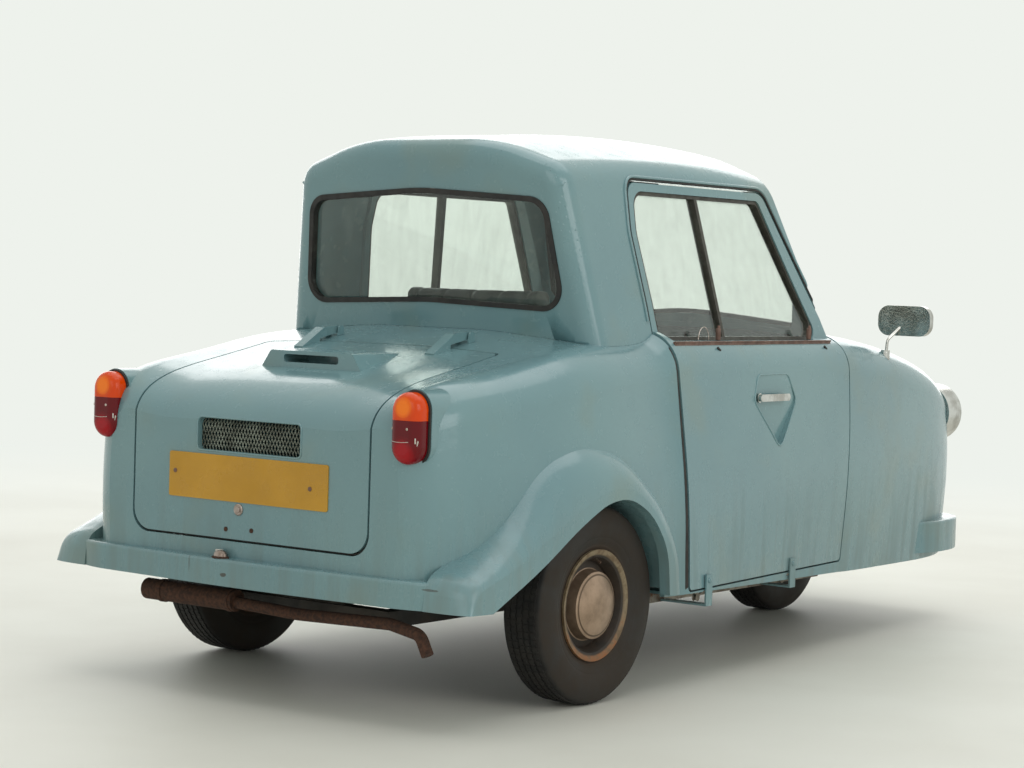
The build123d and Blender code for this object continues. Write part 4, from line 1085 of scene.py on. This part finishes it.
def make_grille():
    """Expanded metal behind the lid's opening, following the inside of the lid."""
    low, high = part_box("grille_mesh")
    tree, identifiers, sizes = grille_tree()
    cell_long, cell_short = sizes["Cell long"], sizes["Cell short"]
    mesh = grown_from("grille", bpy.data.meshes.new("grille"), tree, identifiers, {
        "Finish": FINISHES["mesh_steel"],
        "Strands": int((high.x - low.x - cell_short) / (cell_short / 2)),
        "Cells": int((high.z - low.z) / cell_long),
    })
    lid = surface("engine_lid")
    inside_y, edge_clear, side_clear, under_lid = 1.30, 0.001, 0.003, 0.0018
    middle_z = (low.z + high.z) / 2
    side_x = high.x - side_clear
    for vertex in mesh.vertices:
        along, deep, across = vertex.co
        z = min(max(along + middle_z, low.z + edge_clear), high.z - edge_clear)
        hit = ray_hit(lid, (side_x, inside_y, z), Y_AXIS)[0]
        back = hit.y if hit is not None else high.y
        vertex.co = (across, deep + back - under_lid, z)
    fit("grille_expanded", smoothed(mesh, 30), "mesh_steel", "lid", ("grille_mesh",))


def tread_block():
    """One link of a zigzag rib, lying along Y with its face up at height zero."""
    wide, long, bend, deep = 0.0128, 0.0172, 0.0032, 0.005
    plan = ((-wide / 2, -long / 2), (wide / 2, -long / 2), (wide / 2 + bend, 0), (wide / 2, long / 2),
            (-wide / 2, long / 2), (-wide / 2 + bend, 0))
    vertices = [(x - bend / 2, y, z) for z in (0, -deep) for x, y in plan]
    faces = [(0, 1, 2, 5), (5, 2, 3, 4), (6, 11, 8, 7), (11, 10, 9, 8)]
    faces += [(i, (i + 1) % 6, (i + 1) % 6 + 6, i + 6) for i in range(6)]
    return mesh_of("tread_block", vertices, faces)


def make_tyre(name, body, centre):
    """Tyre with its wall's rings and a tread of zigzag ribs."""
    outside = eased([(x, r, 0) for x, r in TYRE_WALL], 2) + [Vector((x, r, 0)) for x, r in TREAD_BASE]
    half = [(p.x, p.y) for p in outside]
    outline = half + [(-x, r) for x, r in reversed(half[:-1])]
    carcass = lathe(f"carcass_{name}", outline, centre, X_AXIS, 120, 50)
    places, turns = [], []
    for row, (x, radius) in enumerate(TREAD_RIBS):
        for step in range(TREAD_STEPS):
            angle = 2 * math.pi * (step + 0.5 * (row % 2)) / TREAD_STEPS
            away = Vector((0, math.cos(angle), math.sin(angle)))
            places.append(Vector(centre) + Vector((x, 0, 0)) + away * radius)
            turns.append((angle - math.pi / 2, 0, 0))
    tread = repeated(f"tread_{name}", tread_block(), places, turns, f"tyre_{name}")
    fit(f"tyre_skin_{name}", [carcass, tread], f"tyre_{name}", body, (f"tyre_{name}",))


def make_wheel_details(name, body, centre, side):
    """Valve and, on the front wheel's bare hub, its nuts."""
    centre = Vector(centre)
    foot = centre + Vector((side * 0.046, 0.0, 0.116))
    tip = centre + Vector((side * 0.062, 0.0, 0.108))
    parts = [tube("valve", [[foot, tip]], 0.0032)]
    if name == "front":
        nut_radius, nut_height, nut_x, ring_radius, first_nut = 0.008, 0.007, 0.008, 0.050, 0.4
        outline = [(0, 0), (0, nut_radius), (nut_height, nut_radius), (nut_height, 0)]
        nut = lathe("nut", outline, steps=6, sharp=20)
        angles = [k * math.pi / 2 + first_nut for k in range(4)]
        places = [
            centre + Vector((nut_x, ring_radius * math.cos(a), ring_radius * math.sin(a))) for a in angles
        ]
        parts.append(repeated("nuts", nut, places, [turn_from_up(X_AXIS)] * 4, "steel"))
    fit(f"wheel_details_{name}", parts, "steel", body)


def make_lamp_details():
    """Screws of each tail lamp, and pale painted highlights on its lens: a line along the reflector's upper
    rim and two small glints.
    """
    lens = surface("red_lenses")
    screw_xs, screw_z = (-0.014, 0.035), 0.7025
    # Painted highlights: a pale line along the reflector's upper rim, and two small pale glints on the lens
    glint_x, glint_long, glint_z, glint_sag, glint_points = -0.019, 0.056, 0.673, 0.008, 15
    glint_places = ((-0.0345, 0.676, 0.10), (-0.0380, 0.670, -0.35))
    places, turns, lines, glints = [], [], [], []
    for centre in (LAMP_X, -LAMP_X):
        for x in screw_xs:
            hit, normal = from_behind(lens, centre + x, screw_z)
            places.append(hit - normal * 0.0004)
            turns.append(turn_from_up(normal, 0.7))
        line = []
        for share in (k / (glint_points - 1) for k in range(glint_points)):
            sag = glint_sag * share * (1 - share)
            hit, normal = from_behind(lens, centre + glint_x + glint_long * share, glint_z - sag)
            line.append(hit - normal * 0.0002)
        lines.append(line)
        for x, z, lean in glint_places:
            hit, normal = from_behind(lens, centre + x, z)
            glints.append(oblong("mark", hit, (0.004, 0.002, 0.013), 0.0008, Matrix.Rotation(lean, 4, "Y")))
    head = screw_head(0.0034, 0.0018, 0.0008)
    fit_repeated("lamp_screws", head, places, turns, "bright_screw", "car")
    edges = tube("lamp_reflector_edges", lines, 0.0008, False, 2)
    fit("lamp_reflector_edges", edges, "white_lens", "car")
    fit("lamp_marks", glints, "white_lens", "car")


def make_plate_lamp():
    """Plate lamp on the rear bumper step: base, dome and window."""
    place, stretch = (0.068, 1.462, 0.350), (1.5, 0.95, 1.0, 1.0)
    base = lathe("lamp_base", [(0, 0), (0, 0.017), (0.003, 0.0165), (0.0045, 0.0140), (0.0045, 0)])
    dome = lathe("lamp_dome", [
        (0.003, 0), (0.003, 0.0135), (0.008, 0.0132), (0.013, 0.0118), (0.017, 0.0090), (0.0190, 0.0050),
        (0.0196, 0)])
    for mesh in (base, dome):
        mesh.transform(Matrix.Translation(place) @ Matrix.Diagonal(stretch))
    fit("plate_lamp_base", base, "rusty_steel", "car")
    fit("plate_lamp_dome", dome, "chrome_rust", "car")
    x, y, z = place
    window = oblong("plate_lamp_window", (x + 0.006, y - 0.002, z + 0.0175), (0.018, 0.012, 0.006), 0.002)
    fit("plate_lamp_window", window, "white_lens", "car")


def make_tail_fittings():
    """Plate screws, lid lock and the two bolts under it."""
    lock_x, lock_z, slot_y = 0.026, 0.471, TAIL_Y + 0.0050
    places = [(0.241, PLATE_FACE_Y, 0.553), (-0.206, PLATE_FACE_Y, 0.540)]
    head = screw_head(0.0058, 0.003, 0.0012)
    fit_repeated("plate_screws", head, places, [turn_from_up(Y_AXIS, 0.4)] * 2, "strip_brown", "lid")
    outline = [(0, 0), (0, 0.0145), (0.0025, 0.0145), (0.0042, 0.0125), (0.0030, 0.0100), (0.0030, 0.0075),
               (0.0052, 0.0068), (0.0052, 0)]
    lock = lathe("lid_lock", outline, (lock_x, TAIL_Y, lock_z), Y_AXIS, 36)
    slot = oblong("key_slot", (lock_x, slot_y, lock_z), (0.0016, 0.0012, 0.0075), 0.0002)
    fit("lid_lock", [lock, slot], "chrome_rust", "lid")
    places = [(0.067, TAIL_Y, 0.420), (-0.018, TAIL_Y, 0.423)]
    head = screw_head(0.0060, 0.0034, 0.0012)
    fit_repeated("lid_bolts", head, places, [turn_from_up(Y_AXIS, 0.9)] * 2, "rusty_steel", "lid")


def make_window_details():
    """Brown strips under the side windows, their clips, catches and pull rings."""
    rear_y, long, strip_z, count = 0.437, 0.888, 0.8985, 24
    clip_ys, clip_z = (0.222, -0.395), 0.884
    catch_ys, foot_z = (0.193, -0.333), 0.897
    ring_y, ring_half_y, ring_high = 0.264, 0.026, 0.034
    tilt = Matrix.Rotation(math.radians(30), 4, "X")
    strips, clips, catches, rings = [], [], [], []
    for side in SIDES:
        line = [on_door(side, rear_y - long * k / count, strip_z, -0.001) for k in range(count + 1)]
        strips.append(flat_strip("strip", line, (side, 0, 0), 0.0115, 0.0055))
        strips.append(tube("bead", [[p + Vector((side * 0.005, 0, 0.0045)) for p in line]], 0.0024))
        for y in clip_ys:
            clips.append(oblong("clip", on_door(side, y, clip_z, 0.002), (0.005, 0.018, 0.006), 0.0015, tilt))
        for y in catch_ys:
            foot = on_door(side, y, foot_z, -0.004)
            post = foot + Vector((-side * 0.004, 0, 0.026))
            tip = foot + Vector((-side * 0.004, -0.002, 0.045))
            catches.append(oblong("catch", post, (0.010, 0.015, 0.034), 0.003))
            catches.append(oblong("catch_tip", tip, (0.007, 0.009, 0.010), 0.003))
        middle = on_door(side, ring_y, foot_z, -0.012) + Vector((0, 0, 0.012))
        angles = [math.pi * k / 20 for k in range(21)]
        ring = [middle + Vector((0, ring_half_y * math.cos(a), ring_high * math.sin(a))) for a in angles]
        rings.append(tube("ring", [ring], 0.0011))
    fit("window_strips", strips, "strip_brown", "car")
    fit("window_clips", clips, "rubber", "car")
    fit("window_catches", catches, "strip_brown", "car")
    fit("window_pulls", rings, "bright_screw", "car")


def make_door_trims():
    """Trim panel and window ledge inside each door."""
    rows, columns = 7, 25
    low_z, high_z, front_y, panel_long, inside = 0.30, 0.86, -0.44, 0.86, 0.047
    ledge_rear_y, ledge_long, ledge_z, ledge_inside, ledge_steps = 0.43, 0.85, 0.885, 0.046, 20
    trims = []
    for side in SIDES:
        vertices, faces = [], []
        for r in range(rows):
            z = low_z + (high_z - low_z) * r / (rows - 1)
            for c in range(columns):
                hit = on_door(side, front_y + panel_long * c / (columns - 1), z)
                vertices.append(hit - Vector((side * inside, 0, 0)))
        for r in range(rows - 1):
            for c in range(columns - 1):
                a = r * columns + c
                faces.append((a, a + 1, a + columns + 1, a + columns))
        holder = held("trim", mesh_of("trim", vertices, faces))
        solid = holder.modifiers.new("thickness", "SOLIDIFY")
        solid.thickness = 0.003
        solid.offset = 0
        trims.append(smoothed(baked(holder, "trim")))
        ledge_ys = [ledge_rear_y - ledge_long * k / ledge_steps for k in range(ledge_steps + 1)]
        ledge = [on_door(side, y, ledge_z) - Vector((side * ledge_inside, 0, 0)) for y in ledge_ys]
        trims.append(flat_strip("ledge", ledge, (-side, 0, 0), 0.012, 0.014))
    fit("door_trims", trims, "door_trim", "car")


def make_dials():
    """Two round dials on the dash, each with a bright rim."""
    dash_y, dial_z = -0.4995, 0.825
    rims, dials = [], []
    for x, radius in ((0.04, 0.048), (-0.08, 0.030)):
        where, inner = (x, dash_y, dial_z), radius - 0.006
        outline = [(0, inner), (0, radius), (0.008, radius), (0.010, radius - 0.003), (0.008, inner)]
        rims.append(lathe("dial_rim", outline, where, Y_AXIS))
        dials.append(lathe("dial", [(0.0005, 0), (0.0005, inner), (0.003, inner), (0.003, 0)], where, Y_AXIS))
    fit("dial_rims", rims, "chrome", "car")
    fit("dial_faces", dials, "rubber", "car")


def make_grips():
    """Ribbed rubber grips on both ends of the tiller's bar."""
    bar_radius, rib_radius, groove_radius, end_radius = 0.0136, 0.0172, 0.0160, 0.0165
    rib_step, ribs, bar_y, bar_z = 0.0083, 12, -0.290, 0.760
    grips = []
    for low_x, high_x in ((-0.130, -0.030), (0.110, 0.210)):
        outline = [(0, bar_radius)]
        for k in range(ribs):
            start = rib_step * k
            outline += [(start + 0.002, rib_radius), (start + 0.006, rib_radius)]
            outline += [(start + 0.007, groove_radius)]
        outline += [(high_x - low_x, end_radius), (high_x - low_x, bar_radius)]
        grips.append(lathe("grip", outline, (low_x, bar_y, bar_z), X_AXIS, 28))
    fit("tiller_grips", grips, "rubber", "tiller")


def make_inside_mirror():
    """Mirror on a stem under the front of the roof."""
    shell = oblong("mirror_shell", (0.0, -0.215, 1.340), (0.150, 0.016, 0.046), 0.007)
    stem = tube("mirror_stem", [[Vector((0, -0.218, 1.358)), Vector((0, -0.224, 1.404))]], 0.004)
    fit("inside_mirror", [shell, stem], "rubber", "car")


def blown_up(name, start, most):
    """The mesh blown up as cloth under pressure, no point moved further than most."""
    pressure, last_frame = 4.0, 20
    scene = bpy.context.scene
    pad = held(name, start.copy())
    cloth = pad.modifiers.new("cloth", "CLOTH")
    cloth.settings.use_pressure = True
    cloth.settings.uniform_pressure_force = pressure
    cloth.settings.effector_weights.gravity = 0.0
    cloth.point_cache.frame_start = 1
    cloth.point_cache.frame_end = last_frame
    for moment in range(1, last_frame + 1):
        scene.frame_set(moment)
    mesh = baked(pad, f"{name}_blown")
    scene.frame_set(1)
    for vertex, first in zip(mesh.vertices, start.vertices):
        move = vertex.co - first.co
        if move.length > most:
            vertex.co = first.co + move.normalized() * most
    return mesh


def grown_cushion(name, node, shrink, most, channels):
    """Padded seat piece: the plain solid remeshed, blown up as cloth, and its sewn channels pressed in."""
    voxel, quick_voxel, channel_half, channel_deep = 0.006, 0.012, 0.006, 0.006
    source = nodes[node].data.copy()
    low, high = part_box(node)
    middle = (low + high) / 2
    with edited(source) as form:
        bmesh.ops.remove_doubles(form, verts=form.verts, dist=MERGE_DISTANCE)
        for vertex in form.verts:
            vertex.co = middle + (vertex.co - middle) * shrink
    holder = held(f"{name}_source", source)
    remesh = holder.modifiers.new("remesh", "REMESH")
    remesh.mode = "VOXEL"
    remesh.voxel_size = voxel
    mesh = baked(holder, f"{name}_start")
    with edited(mesh) as form:
        bmesh.ops.smooth_vert(
            form, verts=form.verts, factor=0.5, use_axis_x=True, use_axis_y=True, use_axis_z=True)
    mesh = blown_up(name, mesh, most)
    for vertex in mesh.vertices:
        for x in channels:
            press = math.exp(-((vertex.co.x - x) / channel_half) ** 2)
            inward = (middle - vertex.co)
            inward.x = 0
            vertex.co += inward.normalized() * channel_deep * press
    finer = held(f"{name}_finer", mesh)
    smooth = finer.modifiers.new("subdivision", "SUBSURF")
    smooth.levels = smooth.render_levels = 1
    return smoothed(baked(finer, name), 80)


def make_seat():
    """Seat cushion and back."""
    seat_x, channel_step, shrink = 0.04, 0.094, 0.965
    cushion_growth, back_growth = 0.014, 0.012
    channels = [seat_x + channel_step * k for k in (-2, -1, 0, 1, 2)]
    padding = grown_cushion("seat_cushion_pad", "seat_cushion", shrink, cushion_growth, channels)
    cushion = fit("seat_cushion_pad", padding, "seat_cloth", "car", ("seat_cushion",))
    padding = grown_cushion("seat_back_pad", "seat_back", shrink, back_growth, channels)
    back = fit("seat_back_pad", padding, "seat_cloth", "car", ("seat_back",))


def make_springs():
    """Coil springs over the rear arms."""
    turns, steps, radius, height = 6, 20, 0.040, 0.150
    middle_x, middle_y, foot_z = 0.420, 0.740, 0.300
    coils = []
    for side in SIDES:
        line = []
        for k in range(turns * steps + 1):
            angle = 2 * math.pi * k / steps
            x = side * middle_x + radius * math.cos(angle)
            y = middle_y + radius * math.sin(angle)
            line.append(Vector((x, y, foot_z + height * k / (turns * steps))))
        coils.append(tube("coil", [line], 0.005, False, 2))
    fit("rear_springs", coils, "dark_paint", "car")


def make_exhaust_bands():
    """Two bands round the silencer."""
    half_wide, inner, outer = 0.007, 0.0272, 0.0292
    band_xs, pipe_y, pipe_z = (0.096, 0.330), 1.385, 0.236
    band = lathe("band", [(-half_wide, inner), (-half_wide, outer), (half_wide, outer), (half_wide, inner)])
    places = [(x, pipe_y, pipe_z) for x in band_xs]
    turns = [turn_from_up(X_AXIS)] * 2
    fit_repeated("exhaust_bands", band, places, turns, "rusty_steel", "car")


def make_strap_fittings():
    """Rollers with their arms beside the door straps, and the straps' bolts."""
    outline = [(-0.006, 0), (-0.006, 0.010), (-0.003, 0.0075), (0.003, 0.0075), (0.006, 0.010), (0.006, 0)]
    roller = lathe("roller", outline, steps=24)
    roller_z, bend_z, foot_z, bolt_z = 0.234, 0.246, 0.250, 0.277
    middles, arms, bolt_places, bolt_turns = [], [], [], []
    for side in SIDES:
        for y, x in STRAP_FACES:
            foot = Vector((side * (x - 0.005), y, foot_z))
            bend = Vector((side * (x - 0.009), y + 0.022, bend_z))
            middle = Vector((side * (x - 0.016), y + 0.041, roller_z))
            middles.append(middle)
            arms.append(tube("roller_arm", [[foot, bend, middle]], 0.0035))
            bolt_places.append((side * x, y, bolt_z))
            bolt_turns.append(turn_from_up((side, 0, 0), 0.5))
    rollers = repeated("strap_rollers", roller, middles, [turn_from_up(X_AXIS)] * len(middles), "steel")
    fit("strap_rollers", [rollers] + arms, "steel", "car")
    head = screw_head(0.0075, 0.0040, 0.0016)
    fit_repeated("strap_bolts", head, bolt_places, bolt_turns, "body_paint", "car")


make_soft_roof()
make_seals()
make_door_gap_shades()
make_painted_rims()
make_grille()
for wheel_name, wheel_body, wheel_centre, road_side in WHEELS:
    make_tyre(wheel_name, wheel_body, wheel_centre)
    make_wheel_details(wheel_name, wheel_body, wheel_centre, road_side)
make_lamp_details()
make_tail_fittings()
make_plate_lamp()
make_window_details()
make_door_trims()
make_dials()
make_grips()
make_inside_mirror()
make_seat()
make_springs()
make_exhaust_bands()
make_strap_fittings()
make_camera()
make_stage()
bpy.context.scene.view_settings.view_transform = "Standard"
